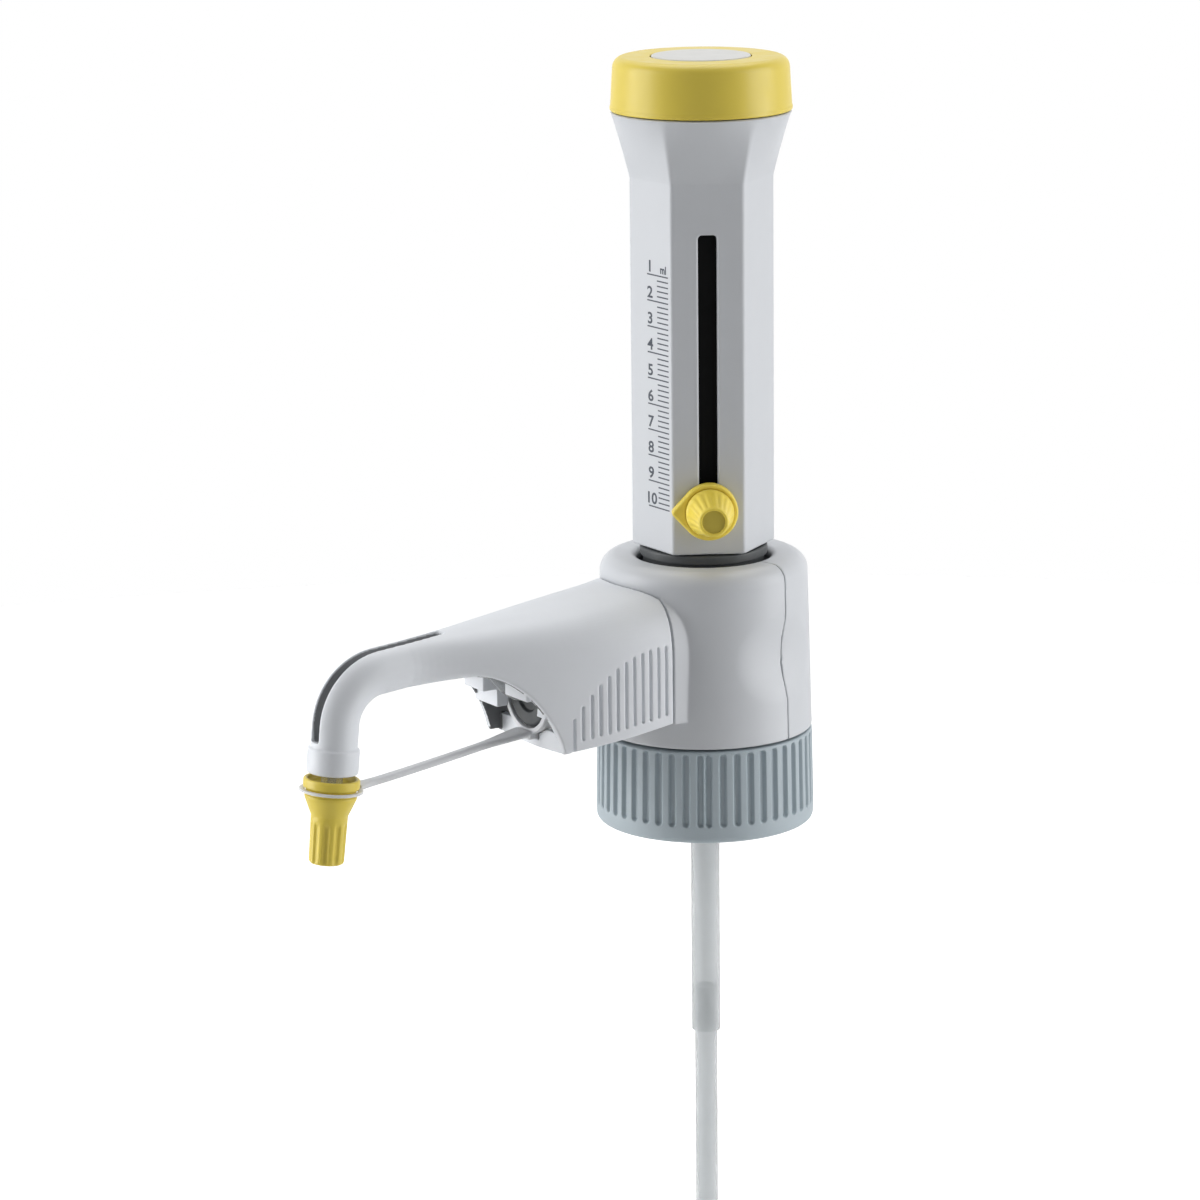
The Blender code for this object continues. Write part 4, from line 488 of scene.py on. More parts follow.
def turned_metal(name, colour, rough=(0.2, 0.34)):
    """Machined metal with fine rings of tool marks."""
    made, tree, shader, place = new_finish(name)
    tree.links.new(mottled(tree, place, colour, 0.05, 400.0), shader.inputs["Base Color"])
    tree.links.new(uneven(tree, place, *rough, 900.0), shader.inputs["Roughness"])
    wave = shader_node(tree, "ShaderNodeTexWave", Scale=2600.0, Distortion=1.5, Detail=1.0)
    wave.bands_direction = 'Z'
    tree.links.new(place, wave.inputs["Vector"])
    bump = shader_node(tree, "ShaderNodeBump", Strength=0.15, Distance=0.00002)
    tree.links.new(wave.outputs["Fac"], bump.inputs["Height"])
    tree.links.new(bump.outputs["Normal"], shader.inputs["Normal"])
    shader.inputs["Metallic"].default_value = 1.0
    made.diffuse_color = (*colour, 1.0)
    return made


def clear_material(name, colour, rough, index, passing, bump=0.05):
    """Glass or clear fluoropolymer with slight draw lines."""
    made, tree, shader, place = new_finish(name)
    tree.links.new(mottled(tree, place, colour, 0.02, 120.0), shader.inputs["Base Color"])
    tree.links.new(uneven(tree, place, *rough, 300.0), shader.inputs["Roughness"])
    tree.links.new(grain(tree, place, 0.00002, 900.0, bump), shader.inputs["Normal"])
    shader.inputs["Transmission Weight"].default_value = passing
    shader.inputs["IOR"].default_value = index
    made.diffuse_color = (*colour, 0.5)
    return made


def finish_set(settings):
    """All finishes, by their plain names."""
    yellow = tuple(settings.signal_colour)
    return {
        "body": moulded_plastic("body_grey", tuple(settings.body_colour)),
        # Painted light: the arm is the body grey lightened 1.22 times, so its side walls read as lit.
        "arm": moulded_plastic("arm_painted_light_grey", tuple(1.22 * c for c in settings.body_colour)),
        "ring": moulded_plastic("ring_blue_grey", tuple(settings.ring_colour), (0.38, 0.5), 0.03),
        "yellow": moulded_plastic("signal_yellow", yellow, (0.3, 0.4), 0.02, 0.08),
        # Painted light: the signal yellow lightened 1.2 times for the pointer and thumb screw, which are the
        # same yellow plastic.
        "pointer": moulded_plastic("signal_yellow_painted_light_pointer", tuple(min(1.0, 1.2 * c) for c in yellow),
                                   (0.3, 0.4), 0.02, 0.08),
        # Painted shade: the body grey halved, for the channel's floor and walls over the elbow.
        "channel": moulded_plastic("channel_painted_shade_grey", tuple(0.5 * c for c in settings.body_colour), (0.45, 0.6)),
        # Painted shade: the signal yellow darkened to 0.72 for the recessed end of the thumb screw; its
        # rougher gloss is real.
        "yellow_painted_shade_end": moulded_plastic("signal_yellow_painted_shade_end", tuple(0.72 * c for c in yellow),
                                      (0.45, 0.6), 0.03, 0.2),
        "disc": moulded_plastic("disc_grey", (0.62, 0.62, 0.60), (0.3, 0.42), 0.01, 0.08),
        "black": moulded_plastic("guide_black", (0.006, 0.0065, 0.007), (0.55, 0.6), 0.1, 0.0, 0.15),
        # Painted shade: near-black copy of the body plastic for the recess's inner walls and ceiling, where
        # shade falls.
        "recess": moulded_plastic("recess_painted_shade_grey", (0.10, 0.103, 0.107), (0.45, 0.6), 0.06, 0.2),
        "dark": moulded_plastic("dark_grey", (0.055, 0.06, 0.063), (0.42, 0.6), 0.12, 0.3),
        "core": moulded_plastic("core_white", (0.62, 0.62, 0.60), (0.4, 0.5), 0.02, 0.1),
        "white": moulded_plastic("valve_white", (0.78, 0.78, 0.76), (0.35, 0.45), 0.02, 0.1),
        "seal": moulded_plastic("piston_white", (0.80, 0.80, 0.78), (0.3, 0.4), 0.02, 0.08),
        "ceramic": moulded_plastic("ceramic", (0.82, 0.81, 0.77), (0.08, 0.16), 0.02, 0.03),
        "ink": moulded_plastic("scale_ink", tuple(settings.ink_colour), (0.5, 0.65), 0.15, 0.1),
        "steel": turned_metal("steel", (0.60, 0.60, 0.61)),
        "brass": turned_metal("brass", (0.68, 0.52, 0.24)),
        "glass": clear_material("clear_glass", (0.96, 0.98, 0.98), (0.0, 0.03), 1.47, 1.0),
        "tube": clear_material("clear_tube", (0.86, 0.88, 0.89), (0.12, 0.22), 1.34, 0.75),
        "strap": strap_plastic(),
    }


def strap_plastic():
    """Milky flexible plastic that lets some light through."""
    made, tree, shader, place = new_finish("strap_white")
    colour = (0.66, 0.67, 0.69)
    tree.links.new(mottled(tree, place, colour, 0.03, 200.0), shader.inputs["Base Color"])
    tree.links.new(uneven(tree, place, 0.28, 0.42, 400.0), shader.inputs["Roughness"])
    tree.links.new(grain(tree, place, 0.00002, 2400.0, 0.1), shader.inputs["Normal"])
    shader.inputs["Subsurface Weight"].default_value = 0.25
    shader.inputs["Subsurface Radius"].default_value = (1.0, 1.0, 1.0)
    shader.inputs["Subsurface Scale"].default_value = 0.0015
    shader.inputs["IOR"].default_value = 1.4
    made.diffuse_color = (*colour, 1.0)
    return made


FINISHES = {}


def finish(name):
    """One of the finishes, which are made on first use."""
    if not FINISHES:
        FINISHES.update(finish_set(bpy.context.scene.dispenser))
    return FINISHES[name]


# Screw ring

def groove_middles():
    """Angle of every grip groove, counted both ways from the narrow rib."""
    angles = []
    for side in (-1, 1):
        for index in range(GROOVE_SIDES):
            angles.append(MIDDLE_RIB_ANGLE + side * (MIDDLE_RIB_TURN / 2 + GROOVE_TURN * index))
    return sorted(math.radians(angle % 360.0) for angle in angles)


def ring_directions(settings):
    """Angles around the ring, close together over the grooves, each with its way off a groove."""
    half = settings.groove_width / 2
    steps = [half * share for share in (0.0, 0.2, 0.38, 0.5, 0.62, 0.74, 0.86, 0.98, 1.1, 1.22, 1.34)]
    middles = groove_middles()
    directions = []
    for index, middle in enumerate(middles):
        following = middles[(index + 1) % len(middles)] + (math.tau if index + 1 == len(middles) else 0)
        reach = RING_RADIUS * (following - middle) / 2
        near = [step for step in steps if step < 0.96 * reach]
        directions += [(middle + off / RING_RADIUS, off) for off in near]
        directions.append(((middle + following) / 2, reach))
        directions += [(following - off / RING_RADIUS, off) for off in reversed(near[1:])]
    return directions


def eased(value):
    """Smooth step from 0 to 1."""
    value = min(max(value, 0.0), 1.0)
    return value * value * (3 - 2 * value)


def groove_sink(settings, off, z):
    """Depth of the groove at a distance off its middle line and a height."""
    half = settings.groove_width / 2
    low = RING_FOOT_Z + RING_BAND_HEIGHT + 1.2 * half
    high = RING_TOP_Z - RING_TOP_RIM - 1.2 * half
    beyond = max(low - z, z - high, 0.0)
    distance = math.hypot(off, beyond)
    return settings.groove_depth * eased((1.3 * half - distance) / (0.85 * half))


class DISPENSER_OT_screw_ring(bpy.types.Operator):
    """Build the ribbed screw ring with rounded grip grooves"""
    bl_idname = "dispenser.screw_ring"
    bl_label = "Screw ring"

    def execute(self, context):
        settings = context.scene.dispenser
        top, foot = RING_TOP_Z, RING_FOOT_Z
        band = foot + RING_BAND_HEIGHT
        outer = softened([(RING_BORE_RADIUS + 1.0 * MM, foot, 0),
                          (RING_FOOT_RADIUS - 0.1 * MM, foot, 1.5 * MM),
                          (RING_FOOT_RADIUS, band, 0), (RING_RADIUS, top, 0.6 * MM),
                          (RING_COLLAR_RADIUS, top, 0)], 6, closed=False)
        rows = [point for point in outer if point[1] <= band - 0.6 * MM]
        wall_rows = [band - 0.4 * MM + 0.14 * MM * step for step in range(14)]
        wall_rows += [band + (1.6 + 2.0 * step) * MM for step in range(8)]
        wall_rows += [top - RING_TOP_RIM - 1.5 * MM + 0.12 * MM * step for step in range(14)]
        for z in wall_rows:
            share = (z - band) / (top - band)
            rows.append((RING_FOOT_RADIUS + (RING_RADIUS - RING_FOOT_RADIUS) * max(share, 0.0), z))
        rows += [point for point in outer if point[1] > wall_rows[-1] + 0.05 * MM]
        collar = RING_TOP_Z - RING_COLLAR_THICKNESS
        inner = softened([(RING_COLLAR_RADIUS, top - 0.2 * MM, 0), (RING_COLLAR_RADIUS, collar, 0.3 * MM),
                          (RING_BORE_RADIUS, collar, 0), (RING_BORE_RADIUS, foot + 0.6 * MM, 0)],
                         4, closed=False)
        directions = ring_directions(settings)
        rings = []
        for radius, z in rows + inner:
            outside = radius > RING_RADIUS - 0.75 * MM and z > foot + 2.0 * MM
            ring = []
            for angle, off in directions:
                reach = radius - (groove_sink(settings, off, z) if outside else 0.0)
                ring.append((reach * math.cos(angle), reach * math.sin(angle), z))
            rings.append(ring)
        ring = new_piece("screw_ring", skin(rings, closed=True), finish("ring"), 50.0)
        even_shading(ring)
        fitted(ring, "screw_ring", "ring_blue_grey", "threaded_ring")
        return {'FINISHED'}


# Valve block

def seam_shift(z):
    """Way in degrees that the seam leans into the dimple at a height."""
    return SEAM_LEAN * math.exp(-((z - DIMPLE_Z) / SEAM_LEAN_HEIGHT) ** 2)


def dimple_sink(settings, angle, z):
    """Depth of the two finger dimples at a place on the covers' wall."""
    deepest = 0.0
    for side in (-1, 1):
        off = (angle - side * DIMPLE_ANGLE + 180.0) % 360.0 - 180.0
        across = math.radians(off) * BLOCK_RADIUS / (settings.dimple_width / 2)
        up = (z - DIMPLE_Z) / (settings.dimple_height / 2)
        distance = math.hypot(across, up)
        if distance < 1.0:
            deepest = max(deepest, settings.dimple_depth * math.cos(0.5 * math.pi * distance) ** 1.4)
    return deepest


def cover_outline():
    """Section of a cover as (radius, z, is on the outer wall) points."""
    shoulder_low = BLOCK_TOP_Z - BLOCK_SHOULDER_RADIUS
    outer = [(COVER_INNER_RADIUS, BLOCK_BOTTOM_Z), (BLOCK_RADIUS - 0.35 * MM, BLOCK_BOTTOM_Z),
             (BLOCK_RADIUS - 0.1 * MM, BLOCK_BOTTOM_Z + 0.1 * MM), (BLOCK_RADIUS, BLOCK_BOTTOM_Z + 0.35 * MM)]
    rows = 44
    for step in range(1, rows):
        share = step / rows
        outer.append((BLOCK_RADIUS + (BLOCK_TOP_RADIUS - BLOCK_RADIUS) * share,
                      BLOCK_BOTTOM_Z + (shoulder_low - BLOCK_BOTTOM_Z) * share))
    centre = (BLOCK_TOP_RADIUS - BLOCK_SHOULDER_RADIUS, shoulder_low)
    for step in range(15):
        angle = math.radians(90 * step / 14)
        outer.append((centre[0] + BLOCK_SHOULDER_RADIUS * math.cos(angle),
                      centre[1] + BLOCK_SHOULDER_RADIUS * math.sin(angle)))
    lip = []
    for step in range(9):
        angle = math.radians(90 + 90 * step / 8)
        lip.append((BLOCK_LIP_RADIUS + BLOCK_LIP_ROUND * (1 + math.cos(angle)),
                    BLOCK_TOP_Z - BLOCK_LIP_ROUND * (1 - math.sin(angle))))
    roof = BLOCK_TOP_Z - COVER_WALL
    inner_radius = BLOCK_SHOULDER_RADIUS - COVER_WALL
    inner = [(BLOCK_LIP_RADIUS, roof)]
    for step in range(7):
        angle = math.radians(90 - 90 * step / 6)
        inner.append((COVER_INNER_RADIUS - inner_radius + inner_radius * math.cos(angle),
                      roof - inner_radius + inner_radius * math.sin(angle)))
    inner += [(COVER_INNER_RADIUS, BLOCK_BOTTOM_Z + (roof - inner_radius - BLOCK_BOTTOM_Z) * share)
              for share in (0.75, 0.5, 0.25)]
    return [(r, z, True) for r, z in outer + lip] + [(r, z, False) for r, z in inner]


def cover_body(settings, rear, steps):
    """One of the two covers, from seam to seam, with its half of each dimple pressed in."""
    gap = math.degrees(0.5 * settings.seam_gap / BLOCK_RADIUS)
    rings = []
    for step in range(steps + 1):
        share = step / steps
        ring = []
        for radius, z, outside in cover_outline():
            seam = SEAM_ANGLE + seam_shift(z)
            first = -seam + gap if rear else seam + gap
            sweep = 2 * (seam - gap) if rear else 360.0 - 2 * (seam + gap)
            angle = first + sweep * share
            reach = radius - (dimple_sink(settings, angle, z) if outside else 0.0)
            turn = math.radians(angle)
            ring.append((reach * math.cos(turn), reach * math.sin(turn), z))
        rings.append(ring)
    return skin(rings)


def arch(half_width, height, power, base, steps):
    """Arch from the near side over the top to the far side, as (across, up) points."""
    points = []
    for step in range(steps + 1):
        angle = math.pi * step / steps
        across = math.copysign(abs(math.cos(angle)) ** (2 / power), math.cos(angle))
        points.append((half_width * across, base + height * math.sin(angle) ** (2 / power)))
    return points


class DISPENSER_OT_block_covers(bpy.types.Operator):
    """Build the front cover with its arched flange, and the rear cover"""
    bl_idname = "dispenser.block_covers"
    bl_label = "Block covers"

    def execute(self, context):
        settings = context.scene.dispenser
        front = new_piece("block_cover_front", cover_body(settings, False, 150), finish("body"))
        outline = arch(ARM_HALF_WIDTH, ARM_CROWN_HEIGHT, ARM_CROWN_POWER, ARM_TOP_Z - ARM_CROWN_HEIGHT, 60)
        outline += [(-ARM_HALF_WIDTH, ARM_FOOT_Z), (ARM_HALF_WIDTH, ARM_FOOT_Z)]
        face = ARM_START - FLANGE_GAP
        boss = new_piece("boss", prism(outline, (face - FLANGE_THICKNESS - 5 * MM, face),
                                       ((0, 1, 0), (0, 0, 1), (-1, 0, 0))))
        bore = turned([(0, BLOCK_BOTTOM_Z - 5 * MM), (COVER_INNER_RADIUS, BLOCK_BOTTOM_Z - 5 * MM),
                       (COVER_INNER_RADIUS, BLOCK_TOP_Z - BLOCK_SHOULDER_RADIUS),
                       (BLOCK_LIP_RADIUS, BLOCK_TOP_Z - COVER_WALL), (0, BLOCK_TOP_Z - COVER_WALL)],
                      96, ring=False)
        shaped(boss, [(bore, 'DIFFERENCE')])
        join = front.modifiers.new("boss", 'BOOLEAN')
        join.operation, join.solver, join.object = 'UNION', 'EXACT', boss
        settled(front)
        bpy.data.objects.remove(boss, do_unlink=True)
        port = placed(rod(VALVE_THREAD_RADIUS + 0.6 * MM, 19 * MM, 33 * MM),
                      Matrix.Translation((0, 0, VALVE_Z)) @ Matrix.Rotation(-math.pi / 2, 4, 'Y'))
        shaped(front, [(port, 'DIFFERENCE')])
        moulded(front, 0.22 * MM, 3)
        fitted(front, "valve_block", "body_grey", "front_cover")

        rear = new_piece("block_cover_rear", cover_body(settings, True, 120), finish("body"))
        vent = placed(rod(5.3 * MM, 19 * MM, 33 * MM),
                      Matrix.Translation((0, 0, VENT_PLUG_Z)) @ Matrix.Rotation(math.pi / 2, 4, 'Y'))
        shaped(rear, [(vent, 'DIFFERENCE')])
        moulded(rear, 0.26 * MM, 3)
        fitted(rear, "valve_block", "body_grey", "rear_cover")

        plug = softened([(0, 0, 0), (5.0 * MM, 0, 0), (5.0 * MM, 3.5 * MM, 0.6 * MM),
                         (3.9 * MM, 3.5 * MM, 0.2 * MM), (3.6 * MM, 3.1 * MM, 0.2 * MM),
                         (1.5 * MM, 3.1 * MM, 0.2 * MM), (1.2 * MM, 2.0 * MM, 0),
                         (0, 2.0 * MM, 0)], 4, closed=False)
        low = reach_of("vent_plug")[0]
        plug = placed(turned(plug, 64, ring=False),
                      Matrix.Translation((low[0], 0, VENT_PLUG_Z)) @ Matrix.Rotation(math.pi / 2, 4, 'Y'))
        plug = new_piece("air_vent_plug", plug, finish("dark"))
        fitted(even_shading(plug), "valve_block", "dark_grey", "vent_plug")
        return {'FINISHED'}


# Discharge arm

def arm_share(reach):
    """How far along the tapered arm a point is, 0 at the flange and 1 where it is a round tube."""
    return min(max((reach - ARM_START) / (ARM_TAPER_END - ARM_START), 0.0), 1.0)


def arm_width(reach):
    """Half width of the arm seen from above."""
    return ARM_TUBE_RADIUS + (ARM_HALF_WIDTH - ARM_TUBE_RADIUS) * (1 - arm_share(reach) ** 2.2) ** 1.8


def axis_z(reach):
    """Height of the round tube's axis in its straight part."""
    return ARM_AXIS_Z + (ARM_TAPER_END - reach) * math.tan(ARM_SLOPE)


def arm_top(reach):
    """Height of the arm's ridge."""
    root_rise = ARM_TOP_Z - axis_z(ARM_START) - ARM_TUBE_RADIUS
    return axis_z(reach) + ARM_TUBE_RADIUS + root_rise * (1 - arm_share(reach)) ** 12


def arm_bottom(reach):
    """Height of the arm's lower edge, with the curved rise of the recess."""
    if reach <= RECESS_START:
        share = (reach - ARM_START) / (RECESS_START - ARM_START)
        return ARM_FOOT_Z + (ARM_TIP_Z - ARM_FOOT_Z) * share
    low = axis_z(reach) - ARM_TUBE_RADIUS
    if reach >= RECESS_END:
        return low
    back = (RECESS_END - reach) / (RECESS_END - RECESS_START)
    return ARM_TIP_Z + (low - ARM_TIP_Z) * (1 - back ** 2) ** 0.75


CROWN_STEPS = 48
KEEL_STEPS = 24


def arm_section(reach):
    """Ring of points round the straight arm."""
    share = arm_share(reach)
    top, bottom = arm_top(reach), arm_bottom(reach)
    depth = top - bottom
    crown = min(ARM_CROWN_HEIGHT + (ARM_TUBE_RADIUS - ARM_CROWN_HEIGHT) * share ** 0.8, 0.78 * depth)
    crown += (0.5 * depth - crown) * share ** 4
    keel = min(ARM_KEEL_HEIGHT + (0.5 * depth - ARM_KEEL_HEIGHT) * share ** 4, depth - crown - 0.02 * MM)
    half = arm_width(reach)
    upper = arch(half, crown, ARM_CROWN_POWER + (2 - ARM_CROWN_POWER) * share, top - crown, CROWN_STEPS)
    lower = arch(half, keel, 4.0 - 2.0 * share ** 2, 0.0, KEEL_STEPS)
    far_drop = bottom - arm_bottom(reach - FAR_WALL_REACH) if reach > RECESS_START else 0.0
    lower = [(-across, bottom + keel - up - far_drop * max(-across / half, 0.0)) for across, up in lower]
    return [(-reach, across, up) for across, up in upper + lower]


def elbow_centre():
    """Centre of the elbow's bend, in the plane of reach and height, tangent to the arm and the nozzle."""
    into = Vector((math.cos(ARM_SLOPE), -math.sin(ARM_SLOPE)))
    out = Vector((math.cos(ELBOW_TURN), -math.sin(ELBOW_TURN)))
    arm_back = Vector((math.sin(ARM_SLOPE), math.cos(ARM_SLOPE)))
    end_back = Vector((math.sin(ELBOW_TURN), math.cos(ELBOW_TURN)))
    arm_point = Vector((ARM_TAPER_END, ARM_AXIS_Z)) - ELBOW_RADIUS * arm_back
    end_point = Vector((NOZZLE_REACH, NOZZLE_Z)) - ELBOW_RADIUS * end_back
    way = end_point - arm_point
    run = (way.x * out.y - way.y * out.x) / (into.x * out.y - into.y * out.x)
    return arm_point + run * into


def elbow_point(turn, out=0.0):
    """Point on the bent tube's axis after a turn, moved out from the bend's centre."""
    centre = elbow_centre()
    radius = ELBOW_RADIUS + out
    return Vector((-(centre.x + radius * math.sin(turn)), 0, centre.y + radius * math.cos(turn)))


def neck_point(share, out=0.0):
    """Point on the straight tube from the elbow's end, at 0, to the top of the collar, at 1."""
    return elbow_point(ELBOW_TURN, out).lerp(collar_top() + out * NOZZLE_OUTWARD, share)


def collar_top():
    """Middle of the collar's upper edge."""
    return Vector((-NOZZLE_REACH, 0, NOZZLE_Z)) - NOZZLE_RISE * NOZZLE_DOWN


def tube_section(centre, turn, radius):
    """Round section across a direction that has turned down by an angle."""
    up = Vector((-math.sin(turn), 0, math.cos(turn)))
    upper = [math.pi * step / CROWN_STEPS for step in range(CROWN_STEPS + 1)]
    nudge = 0.02 * MM / radius
    lower = [math.pi + nudge + (math.pi - 2 * nudge) * step / KEEL_STEPS for step in range(KEEL_STEPS + 1)]
    return [centre + radius * (SIDEWAYS * math.cos(a) + up * math.sin(a)) for a in upper + lower]


def arm_body():
    """Outer form of the whole arm, from its arched root to the collar."""
    span = RECESS_END - RECESS_START
    reaches = [ARM_START + (RECESS_START - ARM_START) * step / 24 for step in range(24)]
    reaches += [RECESS_START + span * (1 - math.cos(math.pi / 2 * step / 30)) for step in range(31)]
    reaches += [RECESS_END + (ARM_TAPER_END - RECESS_END) * step / 7 for step in range(1, 8)]
    rings = [arm_section(reach) for reach in reaches]
    for step in range(41):
        turn = ARM_SLOPE + (ELBOW_TURN - ARM_SLOPE) * step / 40
        rings.append(tube_section(elbow_point(turn), turn, ARM_TUBE_RADIUS))
    rings.append(tube_section(neck_point(1.0), ELBOW_TURN, ARM_TUBE_RADIUS))
    for below, radius in ((0.15, -0.1), (0.5, 0.0), (COLLAR_LENGTH / MM - 0.5, 0.0),
                          (COLLAR_LENGTH / MM - 0.1, -0.15), (COLLAR_LENGTH / MM, -0.5)):
        middle = collar_top() + below * MM * NOZZLE_DOWN
        rings.append(tube_section(middle, ELBOW_TURN, COLLAR_RADIUS + radius * MM))
    return skin(rings)


def plan_body(half_widths, high):
    """Upright body below a ceiling, with the given half widths at each reach along the arm."""
    far = [(reach, -half) for reach, half in reversed(half_widths)]
    return prism(half_widths + far, (-5 * MM, high), ((-1, 0, 0), (0, 1, 0), (0, 0, 1)))


def wall_inside(reach):
    """Plan point on the inner face of the arm's side wall."""
    return reach, arm_width(reach) - ARM_WALL


def stair_bodies():
    """Two steps inside the recess on each side of the tube."""
    top = RECESS_ROOT_CEILING_Z + TOUCH_GAP
    inner = TUBE_WAY_HALF_WIDTH - TOUCH_GAP
    bodies = []
    for side, (start, middle, end, foot, tread) in ((-1, NEAR_STAIR), (1, FAR_STAIR)):
        for low, high, under in ((start, middle + TOUCH_GAP, foot), (middle, end, tread)):
            outline = [(low, top), (low, under), (high, under), (high, top)]
            outer = arm_width(high) - 0.4 * ARM_WALL
            step = prism(outline, (side * inner, side * outer), ((-1, 0, 0), (0, 0, 1), (0, 1, 0)))
            bodies.append((step, 'UNION'))
    return bodies


def cross_wall_body():
    """Low wall between the two side walls under the valve body, bowed at its foot."""
    end = RECESS_START - TOUCH_GAP
    half = arm_width(end) - 0.4 * ARM_WALL
    foot = arm_bottom(end) + TOUCH_GAP
    bow = [(half * (2 * step / 12 - 1), foot - CROSS_WALL_BOW * math.sin(math.pi * step / 12))
           for step in range(13)]
    outline = bow + [(half, foot + CROSS_WALL_HEIGHT), (-half, foot + CROSS_WALL_HEIGHT)]
    return prism(outline, (end - CROSS_WALL_THICKNESS, end), ((0, 1, 0), (0, 0, 1), (-1, 0, 0)))


def clip_room_bodies():
    """Room in the cross wall for the strap's clip ring and its tab."""
    low, high = RECESS_START - 5 * MM, RECESS_START + 5 * MM
    ring = placed(rod(VALVE_RADIUS + CLIP_WALL + 2 * TOUCH_GAP, low, high, 96), valve_matrix())
    half = CLIP_TAB_HALF_WIDTH + TOUCH_GAP
    foot = VALVE_Z - VALVE_RADIUS - CLIP_TAB_DROP
    notch = [(-half, foot), (half, foot), (half, VALVE_Z), (-half, VALVE_Z)]
    return [ring, prism(notch, (low, high), ((0, 1, 0), (0, 0, 1), (-1, 0, 0)))]


def valve_matrix():
    """Frame on the discharge valve's axis, with +Z out along the arm."""
    return Matrix.Translation((0, 0, VALVE_Z)) @ Matrix.Rotation(-math.pi / 2, 4, 'Y')


def channel_body(width):
    """Body of the open channel over the top of the elbow, round at its floor and shallow at its start."""
    reach = ARM_TUBE_RADIUS + 5 * MM
    floor = ARM_TUBE_RADIUS - CHANNEL_DEPTH
    half = width / 2

    def section(rise):
        base = floor + rise
        turns = [math.pi + math.pi * step / 8 for step in range(9)]
        points = [(half * math.cos(turn), base + half + half * math.sin(turn)) for turn in turns]
        return points + [(half, reach + rise), (-half, reach + rise)]

    turn_start = elbow_point(ARM_SLOPE)
    first = Vector((-CHANNEL_START, 0, axis_z(CHANNEL_START)))
    rings = []
    for step in range(8):
        share = step / 8
        rise = (CHANNEL_DEPTH + 0.2 * MM) * (1 - eased(3.0 * share + 0.25))
        rings.append([first.lerp(turn_start, share) + SIDEWAYS * x + UP * z for x, z in section(rise)])
    steps = 36
    for step in range(steps + 1):
        turn = ARM_SLOPE + (ELBOW_TURN - ARM_SLOPE) * step / steps
        rings.append([elbow_point(turn, z) + SIDEWAYS * x for x, z in section(0.0)])
    below = neck_length() - CHANNEL_END
    rings.append([elbow_point(ELBOW_TURN, z) + below * NOZZLE_DOWN + SIDEWAYS * x for x, z in section(0.0)])
    return skin(rings)


def neck_length():
    """Length of the straight tube between the elbow and the collar."""
    return (collar_top() - elbow_point(ELBOW_TURN)).length


def grip_bodies():
    """Grip grooves on both side walls near the flange, with rounded ends."""
    bodies = []
    for index in range(GRIP_COUNT):
        reach = ARM_START + GRIP_START + index * GRIP_PITCH
        share = index / (GRIP_COUNT - 1)
        top = GRIP_TOP_Z - GRIP_FALL * share ** GRIP_FALL_POWER
        low = arm_bottom(reach) + (GRIP_LAND if index < GRIP_COUNT - 1 else -5 * MM)
        near, far = reach - GRIP_WIDTH / 2, reach + GRIP_WIDTH / 2
        outline = softened([(near, low, 0.3 * MM), (far, low, 0.3 * MM), (far, top, 0.3 * MM),
                            (near, top, 0.3 * MM)], 3)
        depth = arm_width(reach) - GRIP_DEPTH
        bodies += [prism(outline, (side * depth, side * (depth + 5 * MM)), ((-1, 0, 0), (0, 0, 1), (0, 1, 0)))
                   for side in (-1, 1)]
    return merged(bodies)


def tube_route():
    """Centre line of the inner discharge tube, from the valve through the arm to the nozzle."""
    climb_from, climb_to = VALVE_END + CLIP_WALL, RECESS_FRONT_END + CLIP_WALL
    high = axis_z(climb_to) + TUBE_OFFSET
    points = [Vector((-VALVE_END + 6.7 * MM, 0, VALVE_Z)), Vector((-VALVE_END, 0, VALVE_Z))]
    for step in range(25):
        share = step / 24
        points.append(Vector((-(climb_from + (climb_to - climb_from) * share), 0,
                              VALVE_Z + (high - VALVE_Z) * eased(share))))
    for step in range(31):
        turn = ARM_SLOPE + (ELBOW_TURN - ARM_SLOPE) * step / 30
        points.append(elbow_point(turn, TUBE_OFFSET))
    for step in range(1, 9):
        points.append(neck_point(step / 8, TUBE_OFFSET * (1 - eased(step / 8))))
    return points


def tube_along(points, radius, sides):
    """Round tube along a path in the XZ plane."""
    rings = []
    for index, point in enumerate(points):
        ahead = (points[min(index + 1, len(points) - 1)] - points[max(index - 1, 0)]).normalized()
        up = ahead.cross(SIDEWAYS).normalized()
        turns = (math.tau * step / sides for step in range(sides))
        rings.append([point + radius * (SIDEWAYS * math.cos(a) + up * math.sin(a)) for a in turns])
    return skin(rings)


def nozzle_matrix():
    """Frame at the centre of the collar's lower face, with +Z up along the nozzle."""
    foot = collar_top() + COLLAR_LENGTH * NOZZLE_DOWN
    return Matrix.Translation(foot) @ Matrix.Rotation(math.pi / 2 - ELBOW_TURN, 4, 'Y')


def block_form(gap):
    """The block's outer wall, grown by a gap, to trim what stands against it."""
    profile = [(0, BLOCK_BOTTOM_Z - 5 * MM), (BLOCK_RADIUS + gap, BLOCK_BOTTOM_Z - 5 * MM),
               (BLOCK_RADIUS + gap, BLOCK_BOTTOM_Z)]
    centre = (BLOCK_TOP_RADIUS - BLOCK_SHOULDER_RADIUS, BLOCK_TOP_Z - BLOCK_SHOULDER_RADIUS)
    for step in range(13):
        angle = math.radians(90 * step / 12)
        profile.append((centre[0] + (BLOCK_SHOULDER_RADIUS + gap) * math.cos(angle),
                        centre[1] + (BLOCK_SHOULDER_RADIUS + gap) * math.sin(angle)))
    profile.append((0, BLOCK_TOP_Z + gap))
    return turned(profile, 144, ring=False)


